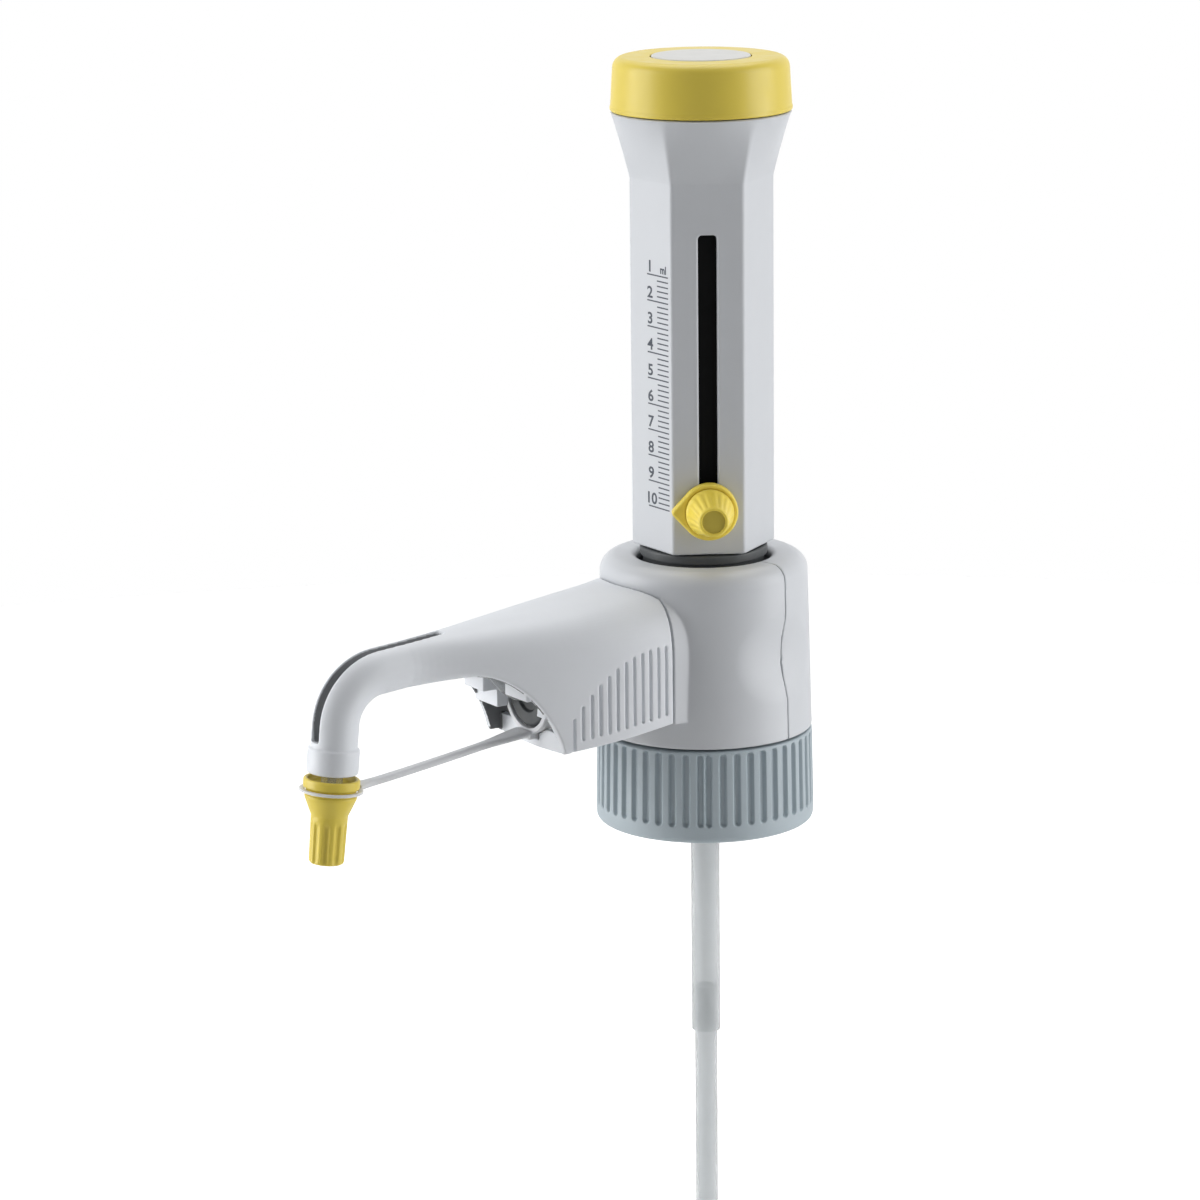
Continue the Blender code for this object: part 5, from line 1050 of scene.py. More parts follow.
class DISPENSER_OT_discharge_arm(bpy.types.Operator):
    """Build the moulded discharge arm with its recess, channel and grip grooves"""
    bl_idname = "dispenser.discharge_arm"
    bl_label = "Discharge arm"

    def execute(self, context):
        settings = context.scene.dispenser
        body = arm_body()
        bmesh.ops.triangulate(body, faces=body.faces)
        # The arm's finish carries painted light: the body grey, lightened.
        arm = new_piece("discharge_arm", body, finish("arm"))
        root = [(ARM_START - 5 * MM, wall_inside(ARM_START)[1])]
        root += [wall_inside(ARM_START + (RECESS_FRONT_END - ARM_START) * step / 12) for step in range(1, 13)]
        bore = [point for point in tube_route() if point.x < -RECESS_FRONT_END + 5 * MM]
        bore.append(bore[-1] + NOZZLE_DOWN * 0.6 * MM)
        nozzle = placed(rod(2.95 * MM, -5 * MM, COLLAR_LENGTH - 0.6 * MM), nozzle_matrix())
        shaped(arm, [(plan_body(root, RECESS_ROOT_CEILING_Z), 'DIFFERENCE'),
                     *stair_bodies(),
                     (cross_wall_body(), 'UNION'),
                     *[(room, 'DIFFERENCE') for room in clip_room_bodies()],
                     (tube_way_body(), 'DIFFERENCE'),
                     (tube_along(bore, TUBE_RADIUS + TOUCH_GAP, 24), 'DIFFERENCE'),
                     (channel_body(settings.channel_width), 'DIFFERENCE'),
                     (nozzle, 'DIFFERENCE'),
                     (grip_bodies(), 'DIFFERENCE'),
                     (block_form(0.6 * MM), 'DIFFERENCE')])
        moulded(arm, 0.22 * MM, 3)
        paint_recess_shade(arm)
        fitted(arm, "valve_block", "body_grey", "discharge_housing")
        return {'FINISHED'}


def paint_recess_shade(arm):
    """Paint shade into the arm: near black on the recess's inner faces but not its steps, darker grey in the
    channel.
    """
    arm.data.materials.append(finish("recess"))
    arm.data.materials.append(finish("channel"))
    for face in arm.data.polygons:
        reach, across, height = -face.center.x, abs(face.center.y), face.center.z
        inside = across < arm_width(reach) - 0.5 * ARM_WALL and height < RECESS_ROOT_CEILING_Z + 0.3 * MM
        faces_in = face.normal.y * face.center.y < -0.3 * across or face.normal.z < -0.5
        stair = FAR_STAIR if face.center.y > 0 else NEAR_STAIR
        edge = arm_bottom(reach - FAR_WALL_REACH if face.center.y > 0 else reach)
        on_steps = stair[0] - 0.4 * MM < reach < stair[2] + 0.4 * MM
        on_steps = on_steps and across < arm_width(stair[2]) - 0.4 * ARM_WALL
        half = 0.5 * bpy.context.scene.dispenser.channel_width + 0.05 * MM
        bend = elbow_centre()
        # Painted shade: faces inside the channel take the halved body grey.
        if across < half and reach > CHANNEL_START:
            out = height - axis_z(reach)
            if reach > bend.x:
                out = math.hypot(reach - bend.x, height - bend.y) - ELBOW_RADIUS
            if 0 < out < ARM_TUBE_RADIUS - 0.7 * MM:
                face.material_index = 2
        in_recess = reach < RECESS_FRONT_END - 0.5 * MM and height > edge + 0.3 * MM
        # Painted shade: inner faces of the recess, not its steps, take the near-black finish.
        if inside and faces_in and in_recess and not on_steps:
            face.material_index = 1


def tube_way_body():
    """Way for the tube between the two stepped blocks, above the cross wall."""
    low, high = RECESS_START, RECESS_FRONT_END
    half = TUBE_WAY_HALF_WIDTH
    outline = [(low, -half), (high, -half), (high, half), (low, half)]
    return prism(outline, (-5 * MM, TUBE_WAY_CEILING_Z), ((-1, 0, 0), (0, 1, 0), (0, 0, 1)))


# Discharge valve, inner tube, nozzle, cap and strap

class DISPENSER_OT_discharge_valve(bpy.types.Operator):
    """Build the valve body, the clear inner tube and the outlet stub"""
    bl_idname = "dispenser.discharge_valve"
    bl_label = "Discharge valve"

    def execute(self, context):
        shoulder = BLOCK_RADIUS + 0.6 * MM
        thread = VALVE_THREAD_RADIUS
        profile = [(1.7 * MM, 12.5 * MM, 0), (thread, 12.5 * MM, 0.4 * MM), (thread, shoulder, 0),
                   (VALVE_RADIUS, shoulder, 0.4 * MM), (VALVE_RADIUS, 45.6 * MM, 0.3 * MM),
                   (VALVE_RADIUS - 0.35 * MM, 46.1 * MM, 0.2 * MM),
                   (VALVE_RADIUS - 0.35 * MM, 47.1 * MM, 0.2 * MM),
                   (VALVE_RADIUS, 47.6 * MM, 0.3 * MM), (VALVE_RADIUS, VALVE_END, 0.9 * MM),
                   (4.6 * MM, VALVE_END, 0.4 * MM), (4.2 * MM, VALVE_END - 0.8 * MM, 0.3 * MM),
                   (2.2 * MM, VALVE_END - 0.8 * MM, 0.2 * MM), (1.7 * MM, VALVE_END - 1.4 * MM, 0)]
        body = placed(turned(softened(profile, 5), 128), valve_matrix())
        body = new_piece("discharge_valve", body, finish("dark"))
        fitted(even_shading(body), "valve_block", "dark_grey", "discharge_valve_body")
        tube = new_piece("inner_tube", tube_along(tube_route(), TUBE_RADIUS, 28), finish("tube"))
        fitted(tube, "valve_block", "clear_tube", "discharge_tube")
        tip = [(0.8 * MM, -9.0 * MM, 0.1 * MM), (1.9 * MM, -9.0 * MM, 0.3 * MM),
               (2.65 * MM, -7.6 * MM, 0.5 * MM),
               (2.65 * MM, 5.5 * MM, 0), (1.4 * MM, 5.5 * MM, 0), (0.8 * MM, 4.9 * MM, 0)]
        tip = new_piece("outlet_stub", placed(turned(softened(tip, 5), 72), nozzle_matrix()), finish("tube"))
        fitted(even_shading(tip), "valve_block", "clear_tube", "nozzle_tip")
        return {'FINISHED'}


def fluted_turn(rows, flutes, samples=12):
    """Loft (radius, z, depth) rows into a round body with soft flutes sunk by each row's depth."""
    rings = []
    count = flutes * samples
    for radius, z, depth in rows:
        ring = []
        for step in range(count):
            angle = math.tau * step / count
            wave = 0.5 - 0.5 * math.cos(flutes * angle)
            reach = radius - depth * eased(1.5 * wave - 0.35)
            ring.append((reach * math.cos(angle), reach * math.sin(angle), z))
        rings.append(ring)
    return skin(rings)


class DISPENSER_OT_nozzle_cap(bpy.types.Operator):
    """Build the yellow cap with its cupped flange, cone and fluted grip"""
    bl_idname = "dispenser.nozzle_cap"
    bl_label = "Nozzle cap"

    def execute(self, context):
        lip = -NOZZLE_CAP_DROP
        flange = lip - CAP_FLANGE_HEIGHT
        cone = flange - 7.3 * MM
        end = cone - 11.6 * MM
        inner = softened([(0, -9.3 * MM, 0), (2.95 * MM, -9.3 * MM, 0.2 * MM),
                          (2.95 * MM, lip - 1.9 * MM, 0.3 * MM),
                          (5.7 * MM, lip - 1.5 * MM, 0.5 * MM), (5.95 * MM, lip, 0.45 * MM),
                          (6.95 * MM, lip, 0.5 * MM), (6.95 * MM, flange, 0.6 * MM),
                          (6.2 * MM, flange, 0.1 * MM),
                          (6.2 * MM, flange - 1.5 * MM, 0.1 * MM), (6.5 * MM, flange - 1.9 * MM, 0.4 * MM),
                          (6.35 * MM, flange - 2.6 * MM, 0.5 * MM), (5.3 * MM, cone + 2.2 * MM, 2.5 * MM),
                          (4.6 * MM, cone + 0.6 * MM, 1.0 * MM)],
                         5, closed=False)
        rows = [(radius, z, 0.0) for radius, z in inner]
        length = cone + 0.4 * MM - end
        for step in range(25):
            share = step / 24
            z = cone + 0.4 * MM - length * share
            radius = 4.55 * MM + (4.3 - 4.55) * MM * share
            depth = 0.42 * MM * eased((share - 0.1) / 0.12) * eased((1.02 - share) / 0.06)
            if share < 0.94:
                rows.append((radius, z, depth))
        rows += [(4.28 * MM, end + 0.6 * MM, 0.26 * MM), (4.18 * MM, end + 0.3 * MM, 0.14 * MM),
                 (3.95 * MM, end + 0.1 * MM, 0.05 * MM), (3.6 * MM, end, 0.0), (2.2 * MM, end, 0.0),
                 (2.0 * MM, end + 0.15 * MM, 0.0), (0.4 * MM, end + 0.15 * MM, 0.0)]
        rows[0] = (0.4 * MM, rows[0][1], 0.0)
        body = placed(fluted_turn(rows, 10, 12), nozzle_matrix())
        cap = new_piece("outlet_cap", body, finish("yellow"), 45.0)
        fitted(even_shading(cap), "outlet_cap", "signal_yellow", "nozzle_cap")
        return {'FINISHED'}


def strap_route():
    """Centre line of the strap from its loop to its clip on the valve body."""
    drop = NOZZLE_CAP_DROP + CAP_FLANGE_HEIGHT + TOUCH_GAP + 0.5 * LOOP_THICKNESS
    foot = nozzle_matrix().translation
    start = foot + NOZZLE_DOWN * drop + NOZZLE_INWARD * (LOOP_OUTER_RADIUS - 0.6 * MM) + UP * 0.5 * MM
    clip_bottom = VALVE_Z - VALVE_RADIUS - TOUCH_GAP - CLIP_WALL
    end = Vector((-VALVE_END - 1.0 * MM, 0, clip_bottom + 0.4 * MM))
    span = end - start
    points = []
    for step in range(49):
        share = step / 48
        lift = span.z * share ** 1.5 + 4 * 0.6 * MM * share * (1 - share)
        points.append(start + Vector((span.x * share, 0, lift)))
    return points


class DISPENSER_OT_strap(bpy.types.Operator):
    """Build the milky strap in one piece with its loop and its clip ring"""
    bl_idname = "dispenser.strap"
    bl_label = "Strap"

    def execute(self, context):
        route = strap_route()
        rings = []
        for index, point in enumerate(route):
            share = index / (len(route) - 1)
            ahead = (route[min(index + 1, len(route) - 1)] - route[max(index - 1, 0)]).normalized()
            up = ahead.cross(SIDEWAYS)
            flare = 1 + 1.3 * eased((share - 0.72) / 0.28) + 0.35 * eased((0.1 - share) / 0.1)
            half_w, half_t = 1.5 * MM * flare, 0.9 * MM
            section = []
            for step in range(20):
                angle = math.tau * step / 20
                across = math.copysign(abs(math.cos(angle)) ** 0.55, math.cos(angle))
                rise = math.copysign(abs(math.sin(angle)) ** 0.8, math.sin(angle))
                section.append(point + SIDEWAYS * half_w * across + up * half_t * rise)
            rings.append(section)
        strap = new_piece("cap_strap_one_piece", skin(rings), finish("strap"))
        high = -NOZZLE_CAP_DROP - CAP_FLANGE_HEIGHT - TOUCH_GAP
        low = high - LOOP_THICKNESS
        loop = [(LOOP_BORE_RADIUS, low), (LOOP_OUTER_RADIUS, low), (LOOP_OUTER_RADIUS, high),
                (LOOP_BORE_RADIUS, high)]
        loop = placed(turned(loop, 96), nozzle_matrix())
        bore = VALVE_RADIUS + TOUCH_GAP
        outer = bore + CLIP_WALL
        front = VALVE_END + 0.4 * MM
        clip = [(bore, front - CLIP_LENGTH), (outer, front - CLIP_LENGTH), (outer, front), (bore, front)]
        clip = placed(turned(clip, 112), valve_matrix())
        tab_front = front + 1.0 * MM
        tab_back, tab_half = tab_front - CLIP_TAB_LENGTH, CLIP_TAB_HALF_WIDTH
        tab = [(-tab_front, -tab_half), (-tab_back, -tab_half), (-tab_back, tab_half), (-tab_front, tab_half)]
        tab = prism(tab, (VALVE_Z - outer - 1.2 * MM, VALVE_Z - outer + CLIP_WALL / 2),
                    ((1, 0, 0), (0, 1, 0), (0, 0, 1)))
        shaped(strap, [(loop, 'UNION'), (clip, 'UNION'), (tab, 'UNION')])
        moulded(strap, 0.17 * MM, 5)
        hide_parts("cap_strap", "strap_loop")
        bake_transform(strap)
        return {'FINISHED'}


# Casing, cap and pointer

def hex_radius(angle, apothem, corner):
    """Distance from the axis to a hexagon with rounded edges, at an angle from a facet's normal."""
    off = abs((angle + 30.0) % 60.0 - 30.0)
    corner_centre = (apothem - corner) / math.cos(math.radians(30))
    flat_end = math.degrees(math.atan((apothem - corner) * math.tan(math.radians(30)) / apothem))
    if off <= flat_end:
        return apothem / math.cos(math.radians(off))
    away = math.radians(30 - off)
    return corner_centre * math.cos(away) + math.sqrt(corner ** 2 - (corner_centre * math.sin(away)) ** 2)


def casing_ring(z, apothem, corner, circle=None, blend=0.0):
    """One ring of the casing, a hexagon turning into a circle as blend goes to 1."""
    offsets = [-30, -29.4, -28.8, -28.2, -27.7, -27.3, -24, -18, -12, -6, 0, 6, 12, 18, 24, 27.3, 27.7,
               28.2, 28.8, 29.4]
    ring = []
    for facet in range(6):
        for offset in offsets:
            angle = 60.0 * facet + offset
            radius = hex_radius(angle, apothem, corner)
            if circle is not None:
                radius += (circle - radius) * blend
            turn = math.radians(angle)
            ring.append((radius * math.cos(turn), radius * math.sin(turn), z))
    return ring


def flare_ring(z, edge_radius, share):
    """One ring of the casing's flare, which grows evenly and turns round towards the rim."""
    growth = (FLARE_RADIUS - edge_radius) * share ** 1.1
    ring = casing_ring(z, CASING_APOTHEM, CASING_CORNER, edge_radius, share ** 1.5)
    return [(x * (1 + growth / math.hypot(x, y)), y * (1 + growth / math.hypot(x, y)), z) for x, y, z in ring]


def slot_body():
    """Body of the pointer slot, with a slight flare at the outer face."""
    half, round_top = SLOT_WIDTH / 2, 1.0 * MM

    def outline(grow):
        corners = []
        for step in range(17):
            angle = math.pi + math.pi * step / 16
            corners.append(((half + grow) * math.cos(angle),
                            SLOT_LOW_Z + half + (half + grow) * math.sin(angle)))
        side, shelf = half - round_top, SLOT_TOP_Z - round_top
        for centre, first in ((side, 0), (-side, 90)):
            for step in range(7):
                angle = math.radians(first + 90 * step / 6)
                corners.append((centre + (round_top + grow) * math.cos(angle),
                                shelf + (round_top + grow) * math.sin(angle)))
        return corners

    levels = ((CASING_INNER_APOTHEM - 5 * MM, 0.0), (CASING_APOTHEM - 0.45 * MM, 0.0),
              (CASING_APOTHEM - 0.18 * MM, 0.12 * MM), (CASING_APOTHEM, 0.42 * MM),
              (CASING_APOTHEM + 2 * MM, 0.42 * MM))
    rings = [[(depth, u, v) for u, v in outline(grow)] for depth, grow in levels]
    return placed(skin(rings), Matrix.Rotation(math.radians(SLOT_ANGLE), 4, 'Z'))


class DISPENSER_OT_casing(bpy.types.Operator):
    """Build the hexagonal casing that flares to a round rim, with its pointer slot"""
    bl_idname = "dispenser.casing"
    bl_label = "Casing"

    def execute(self, context):
        low, top = CASING_BOTTOM_Z, CASING_TOP_Z
        flare_z = top - FLARE_HEIGHT
        edge_radius = hex_radius(30, CASING_APOTHEM, CASING_CORNER)
        rings = []
        for step in range(6):
            angle = math.radians(90 * step / 5)
            inset = 0.6 * MM * (1 - math.sin(angle))
            z = low + 0.6 * MM * (1 - math.cos(angle))
            rings.append(casing_ring(z, CASING_APOTHEM - inset, CASING_CORNER))
        for step in range(1, 12):
            rings.append(casing_ring(low + (flare_z - low) * step / 12, CASING_APOTHEM, CASING_CORNER))
        for step in range(28):
            share = step / 28
            rings.append(flare_ring(flare_z + FLARE_HEIGHT * share, edge_radius, share))
        rings.append(casing_ring(top - 0.25 * MM, CASING_APOTHEM, CASING_CORNER, FLARE_RADIUS, 1.0))
        rings.append(casing_ring(top, CASING_APOTHEM, CASING_CORNER, FLARE_RADIUS - 0.25 * MM, 1.0))
        inner_corner = CASING_CORNER / 2
        web_top = top - 9.6 * MM
        for z, circle in ((top, FLARE_RADIUS - 2 * MM), (top - 3.0 * MM, 18.1 * MM),
                          (web_top, CASING_INNER_APOTHEM), (web_top, 3.9 * MM),
                          (web_top - 2.4 * MM, 3.9 * MM)):
            rings.append(casing_ring(z, CASING_INNER_APOTHEM, inner_corner, circle, 1.0))
        rings += [casing_ring(web_top - 2.4 * MM, CASING_INNER_APOTHEM, inner_corner),
                  casing_ring(low, CASING_INNER_APOTHEM, inner_corner)]
        casing = new_piece("casing_shell", skin(rings, closed=True), finish("body"), 24.0)
        shaped(casing, [(slot_body(), 'DIFFERENCE')], 24.0)
        fitted(even_shading(casing), "casing", "body_grey", "casing_sleeve")

        bore, radius = 8.9 * MM, 11.0 * MM
        low, high = GUIDE_LOW[2], GUIDE_HIGH[2]
        guide = turned([(bore, low), (radius, low), (radius, high), (bore, high)], 128)
        guide = new_piece("guide_tube", guide, finish("black"))
        half, low, high = GUIDE_GROOVE_HALF_WIDTH, GUIDE_GROOVE_LOW_Z, GUIDE_GROOVE_TOP_Z
        groove = prism([(-half, low), (half, low), (half, high), (-half, high)],
                       (GUIDE_GROOVE_FLOOR, 14 * MM), ((0, 1, 0), (0, 0, 1), (1, 0, 0)))
        groove = placed(groove, Matrix.Rotation(math.radians(SLOT_ANGLE), 4, 'Z'))
        shaped(guide, [(groove, 'DIFFERENCE')])
        fitted(even_shading(guide), "valve_block", "guide_black", "guide_sleeve")

        low, high = SAFETY_LOW[2], SAFETY_HIGH[2]
        profile = [(11.3 * MM, low, 0), (15.4 * MM, low, 0), (15.4 * MM, high - 2.4 * MM, 0.2 * MM),
                   (16.2 * MM, high - 2.4 * MM, 0.3 * MM), (16.2 * MM, high, 0.6 * MM),
                   (14.6 * MM, high, 0.2 * MM), (14.2 * MM, high - 0.35 * MM, 0.2 * MM),
                   (11.3 * MM, high - 0.35 * MM, 0.2 * MM)]
        lock = new_piece("lock_ring", turned(softened(profile, 5), 128), finish("dark"))
        fitted(even_shading(lock), "valve_block", "dark_grey", "safety_ring")
        return {'FINISHED'}


class DISPENSER_OT_casing_cap(bpy.types.Operator):
    """Build the yellow cap and the grey disc let into its top"""
    bl_idname = "dispenser.casing_cap"
    bl_label = "Casing cap"

    def execute(self, context):
        low = CAP_LOW[2] + 2.7 * MM
        top = CAP_HIGH[2]
        pocket = 12.7 * MM
        floor = DISC_LOW[2] - 0.3 * MM
        profile = [(0, floor, 0), (pocket, floor, 0), (pocket, top, 0.25 * MM), (21.9 * MM, top, 2.8 * MM),
                   (22.6 * MM, low + 1.3 * MM, 0.5 * MM), (22.75 * MM, low + 0.9 * MM, 0.3 * MM),
                   (22.75 * MM, low, 0.45 * MM), (22.0 * MM, low, 0), (17.8 * MM, low, 0),
                   (17.8 * MM, low - 2.7 * MM, 0), (16.0 * MM, low - 2.7 * MM, 0),
                   (16.0 * MM, floor - 1.8 * MM, 0),
                   (0, floor - 1.8 * MM, 0)]
        cap = turned(softened(profile, 9, closed=False), 160, ring=False)
        cap = new_piece("top_cap", cap, finish("yellow"))
        fitted(even_shading(cap), "casing", "signal_yellow", "casing_cap")
        disc_top = DISC_HIGH[2]
        disc = [(0, DISC_LOW[2], 0), (12.4 * MM, DISC_LOW[2], 0), (12.4 * MM, disc_top - 0.05 * MM, 0.4 * MM),
                (9.0 * MM, disc_top, 0), (0, disc_top, 0)]
        disc = new_piece("top_disc", turned(softened(disc, 5, closed=False), 128, ring=False), finish("disc"))
        fitted(even_shading(disc), "casing", "disc_grey", "cap_disc")
        return {'FINISHED'}


def pointer_matrix():
    """Frame on the slot facet at the pointer's middle, +Z out of the facet and +Y up."""
    turn = math.radians(SLOT_ANGLE)
    facet = Vector((math.cos(turn), math.sin(turn), 0)) * CASING_APOTHEM
    facet.z = POINTER_Z
    upright = Matrix.Rotation(turn + math.pi / 2, 4, 'Z') @ Matrix.Rotation(math.pi / 2, 4, 'X')
    return Matrix.Translation(facet) @ upright


def teardrop(radius, tip, blunt, steps=64):
    """Outline of a disc with a blunt tip towards -X, both joined by tangent lines."""
    half = math.asin((radius - blunt) / (tip - blunt))
    points = []
    lean = math.pi / 2 + half
    for step in range(steps + 1):
        angle = -lean + 2 * lean * step / steps
        points.append((radius * math.cos(angle), radius * math.sin(angle)))
    centre = blunt - tip
    for step in range(13):
        angle = lean + 2 * (math.pi - lean) * step / 12
        points.append((centre + blunt * math.cos(angle), blunt * math.sin(angle)))
    return points


class DISPENSER_OT_volume_pointer(bpy.types.Operator):
    """Build the yellow pointer with its stem, and the tapered thumb screw"""
    bl_idname = "dispenser.volume_pointer"
    bl_label = "Volume pointer"

    def execute(self, context):
        levels = [(0.3, 0.12), (0.42, 0.0), (2.35, 0.0), (2.62, 0.1), (2.81, 0.29), (2.9, 0.55), (2.9, 0.62)]
        rings = []
        for height, inset in levels:
            outline = teardrop((7.2 - inset) * MM, (9.4 - 1.2 * inset) * MM, (1.1 - 0.6 * inset) * MM)
            rings.append([(x, y, height * MM) for x, y in outline])
        plate = new_piece("pointer_plate", skin(rings), finish("pointer"), 40.0)
        stem = prism([(-1.85 * MM, -3 * MM), (1.85 * MM, -3 * MM), (1.85 * MM, 3 * MM), (-1.85 * MM, 3 * MM)],
                     (-6.35 * MM, 0.9 * MM), ((1, 0, 0), (0, 1, 0), (0, 0, 1)))
        well = turned([(0, 2.55 * MM), (6.2 * MM, 2.55 * MM), (6.35 * MM, 3.5 * MM), (0, 3.5 * MM)],
                      96, ring=False)
        hole = rod(2.1 * MM, 0.9 * MM, 4 * MM)
        shaped(plate, [(stem, 'UNION'), (well, 'DIFFERENCE'), (hole, 'DIFFERENCE')], 40.0)
        plate.data.transform(pointer_matrix())
        fitted(even_shading(plate), "pointer", "signal_yellow", "volume_pointer")

        rows = [(5.95, 2.75, 0.0), (6.05, 3.25, 0.0), (6.05, 3.75, 0.0), (5.95, 4.05, 0.0), (5.78, 4.3, 0.05),
                (5.6, 4.8, 0.16), (5.2, 6.4, 0.2), (4.78, 8.4, 0.2), (4.4, 10.4, 0.2), (4.05, 12.2, 0.18),
                (3.88, 13.1, 0.1), (3.76, 13.6, 0.04), (3.55, 13.9, 0.0), (3.3, 14.0, 0.0),
                (3.05, 13.95, 0.0),
                (2.9, 13.7, 0.0), (2.8, 13.55, 0.0), (0.3, 13.55, 0.0)]
        screw = fluted_turn([(r * MM, z * MM, d * MM) for r, z, d in rows], 18, 8)
        screw = new_piece("clamp_knob", placed(screw, pointer_matrix()), finish("pointer"), 40.0)
        screw.data.materials.append(finish("yellow_painted_shade_end"))
        limit = (pointer_matrix() @ Vector((0, 0, 13.5 * MM))).dot(pointer_axis())
        # Painted shade: faces in the thumb screw's recessed end take the darkened yellow.
        for face in screw.data.polygons:
            away = face.center - pointer_matrix().translation
            out = away.dot(pointer_axis())
            on_painted_shade_end = (away - pointer_axis() * out).length < 2.95 * MM
            if face.center.dot(pointer_axis()) > limit and on_painted_shade_end:
                face.material_index = 1
        fitted(even_shading(screw), "clamp_screw", "signal_yellow", "thumb_screw")
        return {'FINISHED'}


def pointer_axis():
    """Direction out of the slot facet."""
    turn = math.radians(SLOT_ANGLE)
    return Vector((math.cos(turn), math.sin(turn), 0))


# Scale

def scale_text(words, height, matrix):
    """Flat figure or unit as a bmesh, with its lower middle at the matrix's origin."""
    curve = bpy.data.curves.new("figure", 'FONT')
    curve.body = words
    curve.size = height * 1.38
    curve.align_x = 'CENTER'
    curve.offset = 0.09 * MM
    curve.extrude = 0.012 * MM
    curve.resolution_u = 6
    figure = bpy.data.objects.new("figure", curve)
    bpy.context.scene.collection.objects.link(figure)
    graph = bpy.context.evaluated_depsgraph_get()
    graph.update()
    mesh = bpy.data.meshes.new_from_object(figure.evaluated_get(graph))
    bm = bmesh.new()
    bm.from_mesh(mesh)
    bpy.data.objects.remove(figure, do_unlink=True)
    bpy.data.curves.remove(curve)
    bpy.data.meshes.remove(mesh)
    return placed(bm, matrix)


def scale_line(left, right, height, thickness=0.34 * MM):
    """Thin printed line on the scale facet, between two distances from the slot-side edge."""
    half = thickness / 2
    outline = [(-left, height - half), (-right, height - half), (-right, height + half),
               (-left, height + half)]
    return prism(outline, (0.0, 0.025 * MM), ((1, 0, 0), (0, 1, 0), (0, 0, 1)))


class DISPENSER_OT_volume_scale(bpy.types.Operator):
    """Print the volume scale, with its figures and lines, on the facet beside the slot"""
    bl_idname = "dispenser.volume_scale"
    bl_label = "Volume scale"

    def execute(self, context):
        settings = context.scene.dispenser
        top_z, pitch = 123.2 * MM, 6.545 * MM
        edge = CASING_APOTHEM * math.tan(math.radians(30))
        facet = Matrix(((0, 0, -1, 0), (-1, 0, 0, 0), (0, 1, 0, 0), (0, 0, 0, 1)))
        to_facet = Matrix.Translation((-CASING_APOTHEM - 0.004 * MM, -edge, 0)) @ facet
        parts = []
        for mark in range(10):
            height = top_z - pitch * mark
            parts.append(scale_line(10.4 * MM, 1.3 * MM, height))
            if mark < 9:
                for step in range(1, settings.scale_steps + 1):
                    parts.append(scale_line(6.1 * MM, 1.3 * MM,
                                            height - pitch * step / (settings.scale_steps + 1)))
            spot = Matrix.Translation((-9.2 * MM, height + 0.75 * MM, 0.012 * MM))
            spot = spot @ Matrix.Scale(1.22, 4, (1, 0, 0))
            parts.append(scale_text(str(mark + 1), settings.figure_height, spot))
        unit = Matrix.Translation((-3.4 * MM, top_z + 0.75 * MM, 0.012 * MM))
        parts.append(scale_text("ml", 2.0 * MM, unit))
        scale = new_piece("volume_scale", placed(merged(parts), to_facet), finish("ink"))
        fitted(scale, "casing", "body_grey")
        return {'FINISHED'}


# Pieces below the seat and inside

class DISPENSER_OT_filling_parts(bpy.types.Operator):
    """Build the filling valve's washer and the two telescopic tubes"""
    bl_idname = "dispenser.filling_parts"
    bl_label = "Filling parts"

    def execute(self, context):
        tube = finish("tube")
        low, high = UPPER_TUBE_LOW[2], UPPER_TUBE_HIGH[2]
        upper = softened([(3.0 * MM, low, 0.1 * MM), (3.7 * MM, low, 0.2 * MM), (3.7 * MM, high, 0.2 * MM),
                          (3.0 * MM, high, 0.1 * MM)], 3)
        upper = new_piece("filling_tube_upper", turned(upper, 72), tube)
        fitted(even_shading(upper), "valve_block", "clear_tube", "upper_filling_tube")
        low, high = LOWER_TUBE_LOW[2], LOWER_TUBE_HIGH[2]
        radius, inner = 2.9 * MM, 2.3 * MM
        lower = turned(softened([(inner, low, 0.1 * MM), (radius, low, 0.15 * MM), (radius, high, 0.2 * MM),
                                 (inner, high, 0.1 * MM)], 3), 72)
        for vert in lower.verts:
            if vert.co.z < low + radius:
                vert.co.z += vert.co.x + radius
        lower = new_piece("filling_tube_lower", lower, tube)
        fitted(even_shading(lower), "lower_tube", "clear_tube", "lower_filling_tube")
        washer_low, washer_high = (corner[2] for corner in reach_of("filling_valve_washer"))
        washer = softened([(6.3 * MM, washer_low, 0.2 * MM), (8.0 * MM, washer_low, 0.3 * MM),
                           (8.0 * MM, washer_high, 0.3 * MM), (6.3 * MM, washer_high, 0.2 * MM)], 4)
        washer = new_piece("filling_washer", turned(washer, 72), finish("seal"))
        fitted(even_shading(washer), "valve_block", "piston_white", "filling_valve_washer")
        return {'FINISHED'}


INNER_FINISHES = {
    "valve_core": "core", "glass_cylinder": "glass", "valve_spring": "steel", "piston": "seal",
    "piston_seal": "seal", "piston_rod": "steel", "rod_coupling": "dark", "calibration_nut": "brass",
    "toothed_track": "dark", "filling_ball": "ceramic", "discharge_ball": "ceramic",
    "filling_valve_body": "white",
}


class DISPENSER_OT_inner_parts(bpy.types.Operator):
    """Give the CAD pieces inside the dispenser their finishes and small rounded edges"""
    bl_idname = "dispenser.inner_parts"
    bl_label = "Inner parts"

    def execute(self, context):
        for name, finish_name in INNER_FINISHES.items():
            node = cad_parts[name]
            for slot in node.material_slots:
                slot.link = 'OBJECT'
                slot.material = finish(finish_name)
            weld = node.modifiers.new("weld", 'WELD')
            weld.merge_threshold = 0.001 * MM
            if name.endswith("ball") or name == "valve_spring":
                smooth = node.modifiers.new("subdivide", 'SUBSURF')
                smooth.levels = smooth.render_levels = 1
            else:
                bevel = node.modifiers.new("edge", 'BEVEL')
                bevel.width = 0.12 * MM
                bevel.segments = 2
                bevel.limit_method = 'ANGLE'
                bevel.angle_limit = math.radians(35)
            node.modifiers.new("weighted_normal", 'WEIGHTED_NORMAL')
        return {'FINISHED'}


# Stage

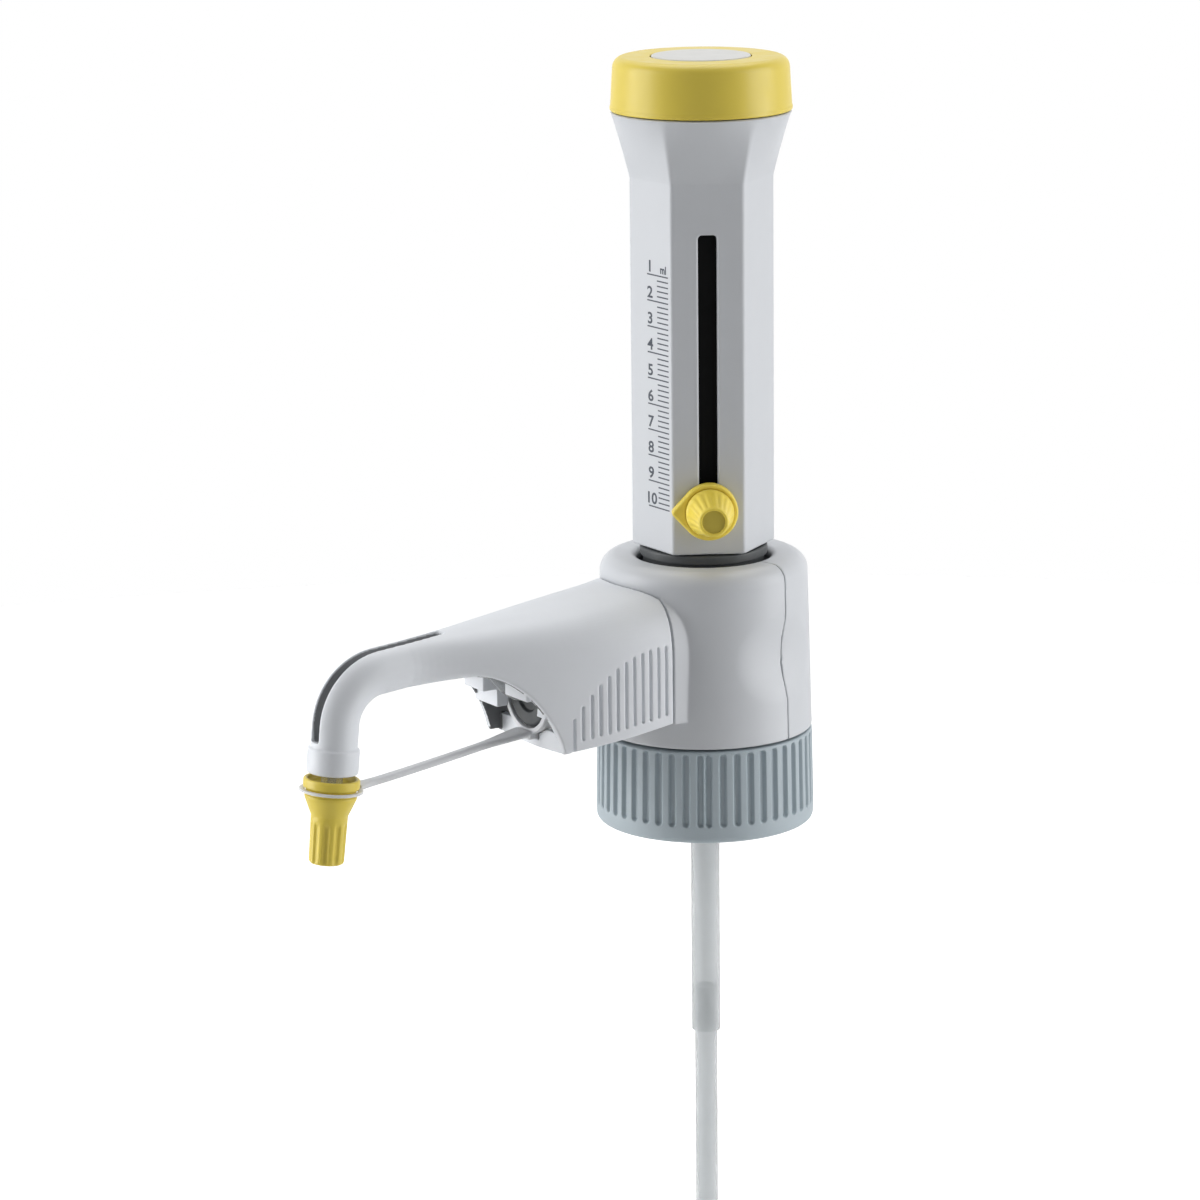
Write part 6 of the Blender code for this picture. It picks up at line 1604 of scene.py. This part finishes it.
LAMPS = (
    ("left_softbox", 150, 0.20, 0.75, (0.55, 0.9), 6.0),
    ("right_softbox", 318, 0.20, 0.75, (0.55, 0.9), 5.4),
    ("top_softbox", 60, 0.85, 0.25, (0.7, 0.7), 3.9),
)
CAMERA_LENS = 134.61
CAMERA_PLACE = Vector((0, -1112 * MM, 299.1 * MM))
CAMERA_TURN = -35.0
CAMERA_YAW = 1.363
CAMERA_PITCH = 13.46
CAMERA_ROLL = -0.63


def soft_lamp(name, azimuth, height, distance, size, power, aim=(0, 0, 60 * MM)):
    """Large area lamp that looks at the object from a compass direction."""
    data = bpy.data.lights.new(name, 'AREA')
    data.shape = 'RECTANGLE'
    data.size, data.size_y = size
    data.energy = power
    lamp = bpy.data.objects.new(name, data)
    bpy.context.scene.collection.objects.link(lamp)
    turn = math.radians(azimuth)
    lamp.location = (distance * math.cos(turn), distance * math.sin(turn), height)
    lamp.rotation_euler = (Vector(aim) - lamp.location).to_track_quat('-Z', 'Y').to_euler()
    return lamp


def studio_world():
    """Even white world that the camera, gloss and glass see, with a dimmer one for soft light."""
    world = bpy.data.worlds.new("studio")
    world.use_nodes = True
    tree = world.node_tree
    tree.nodes.clear()
    paths = tree.nodes.new("ShaderNodeLightPath")
    seen = None
    for ray in ("Is Camera Ray", "Is Glossy Ray", "Is Transmission Ray"):
        if seen is None:
            seen = paths.outputs[ray]
            continue
        either = tree.nodes.new("ShaderNodeMath")
        either.operation = 'MAXIMUM'
        tree.links.new(seen, either.inputs[0])
        tree.links.new(paths.outputs[ray], either.inputs[1])
        seen = either.outputs[0]
    soft = shader_node(tree, "ShaderNodeBackground", Color=(1.0, 1.0, 1.0, 1.0), Strength=0.12)
    white = shader_node(tree, "ShaderNodeBackground", Color=(1.0, 1.0, 1.0, 1.0), Strength=1.0)
    mix = tree.nodes.new("ShaderNodeMixShader")
    tree.links.new(seen, mix.inputs[0])
    tree.links.new(soft.outputs[0], mix.inputs[1])
    tree.links.new(white.outputs[0], mix.inputs[2])
    output = tree.nodes.new("ShaderNodeOutputWorld")
    tree.links.new(mix.outputs[0], output.inputs["Surface"])
    bpy.context.scene.world = world


def floor_finish():
    """Pale floor that renders white where no shadow lies on it."""
    made, tree, shader, place = new_finish("pale_floor")
    tree.links.new(mottled(tree, place, (0.86, 0.86, 0.86), 0.01, 6.0), shader.inputs["Base Color"])
    tree.links.new(uneven(tree, place, 0.55, 0.7, 20.0), shader.inputs["Roughness"])
    paths = tree.nodes.new("ShaderNodeLightPath")
    lift = shader_node(tree, "ShaderNodeMath")
    lift.operation = 'MULTIPLY'
    lift.inputs[1].default_value = 0.62
    tree.links.new(paths.outputs["Is Camera Ray"], lift.inputs[0])
    tree.links.new(lift.outputs[0], shader.inputs["Emission Strength"])
    shader.inputs["Emission Color"].default_value = (1.0, 1.0, 1.0, 1.0)
    return made


class DISPENSER_OT_stage(bpy.types.Operator):
    """Set the pale floor, the soft lamps, the white world and the camera"""
    bl_idname = "dispenser.stage"
    bl_label = "Stage"

    def execute(self, context):
        scene = context.scene
        level = scene.dispenser.light_level
        floor_z = CAD_BOX[0].z - 0.5 * MM
        disc = [(0, floor_z), (0.9, floor_z), (0.9, floor_z - 0.004), (0, floor_z - 0.004)]
        floor = new_piece("floor", turned(disc, 96, ring=False), floor_finish())
        for name, azimuth, height, distance, size, power in LAMPS:
            soft_lamp(name, azimuth, height, distance, size, power * level)
        studio_world()

        data = bpy.data.cameras.new("camera")
        data.sensor_width = 36.0
        data.lens = CAMERA_LENS
        data.clip_start, data.clip_end = 0.05, 20.0
        camera = bpy.data.objects.new("camera", data)
        scene.collection.objects.link(camera)
        yaw, pitch, roll = (math.radians(turn) for turn in (CAMERA_YAW, CAMERA_PITCH, CAMERA_ROLL))
        look = Vector((-math.sin(yaw) * math.cos(pitch), math.cos(yaw) * math.cos(pitch), -math.sin(pitch)))
        to_part = Matrix.Rotation(math.radians(CAMERA_TURN), 4, 'Z')
        place = to_part @ CAMERA_PLACE + Vector((0, 0, RING_TOP_Z))
        turn = (to_part.to_3x3() @ look).to_track_quat('-Z', 'Y').to_matrix().to_4x4()
        camera.matrix_world = Matrix.Translation(place) @ turn @ Matrix.Rotation(roll, 4, 'Z')
        scene.camera = camera
        scene.view_settings.view_transform = 'Standard'
        return {'FINISHED'}


OPERATORS = (
    DISPENSER_OT_screw_ring, DISPENSER_OT_block_covers, DISPENSER_OT_discharge_arm,
    DISPENSER_OT_discharge_valve, DISPENSER_OT_nozzle_cap, DISPENSER_OT_strap, DISPENSER_OT_casing,
    DISPENSER_OT_casing_cap, DISPENSER_OT_volume_pointer, DISPENSER_OT_volume_scale,
    DISPENSER_OT_filling_parts, DISPENSER_OT_inner_parts, DISPENSER_OT_stage,
)


class DISPENSER_PT_panel(bpy.types.Panel):
    """Lists the settings and one button for each piece"""
    bl_label = "Bottle top dispenser"
    bl_idname = "DISPENSER_PT_panel"
    bl_space_type = 'VIEW_3D'
    bl_region_type = 'UI'
    bl_category = "Dispenser"

    def draw(self, context):
        settings = context.scene.dispenser
        column = self.layout.column()
        for name in settings.bl_rna.properties.keys():
            if name not in {"rna_type", "name"}:
                column.prop(settings, name)
        for operator in OPERATORS:
            column.operator(operator.bl_idname)


CLASSES = (DispenserSettings, *OPERATORS, DISPENSER_PT_panel)


def register():
    for cls in CLASSES:
        bpy.utils.register_class(cls)
    bpy.types.Scene.dispenser = PointerProperty(type=DispenserSettings)


def unregister():
    del bpy.types.Scene.dispenser
    for cls in reversed(CLASSES):
        bpy.utils.unregister_class(cls)


def main():
    """Build every piece and the stage."""
    register()
    for operator in OPERATORS:
        group, name = operator.bl_idname.split(".")
        if getattr(getattr(bpy.ops, group), name)() != {'FINISHED'}:
            raise RuntimeError(f"{operator.bl_label} wasn't finished")


if __name__ == "__main__":
    main()
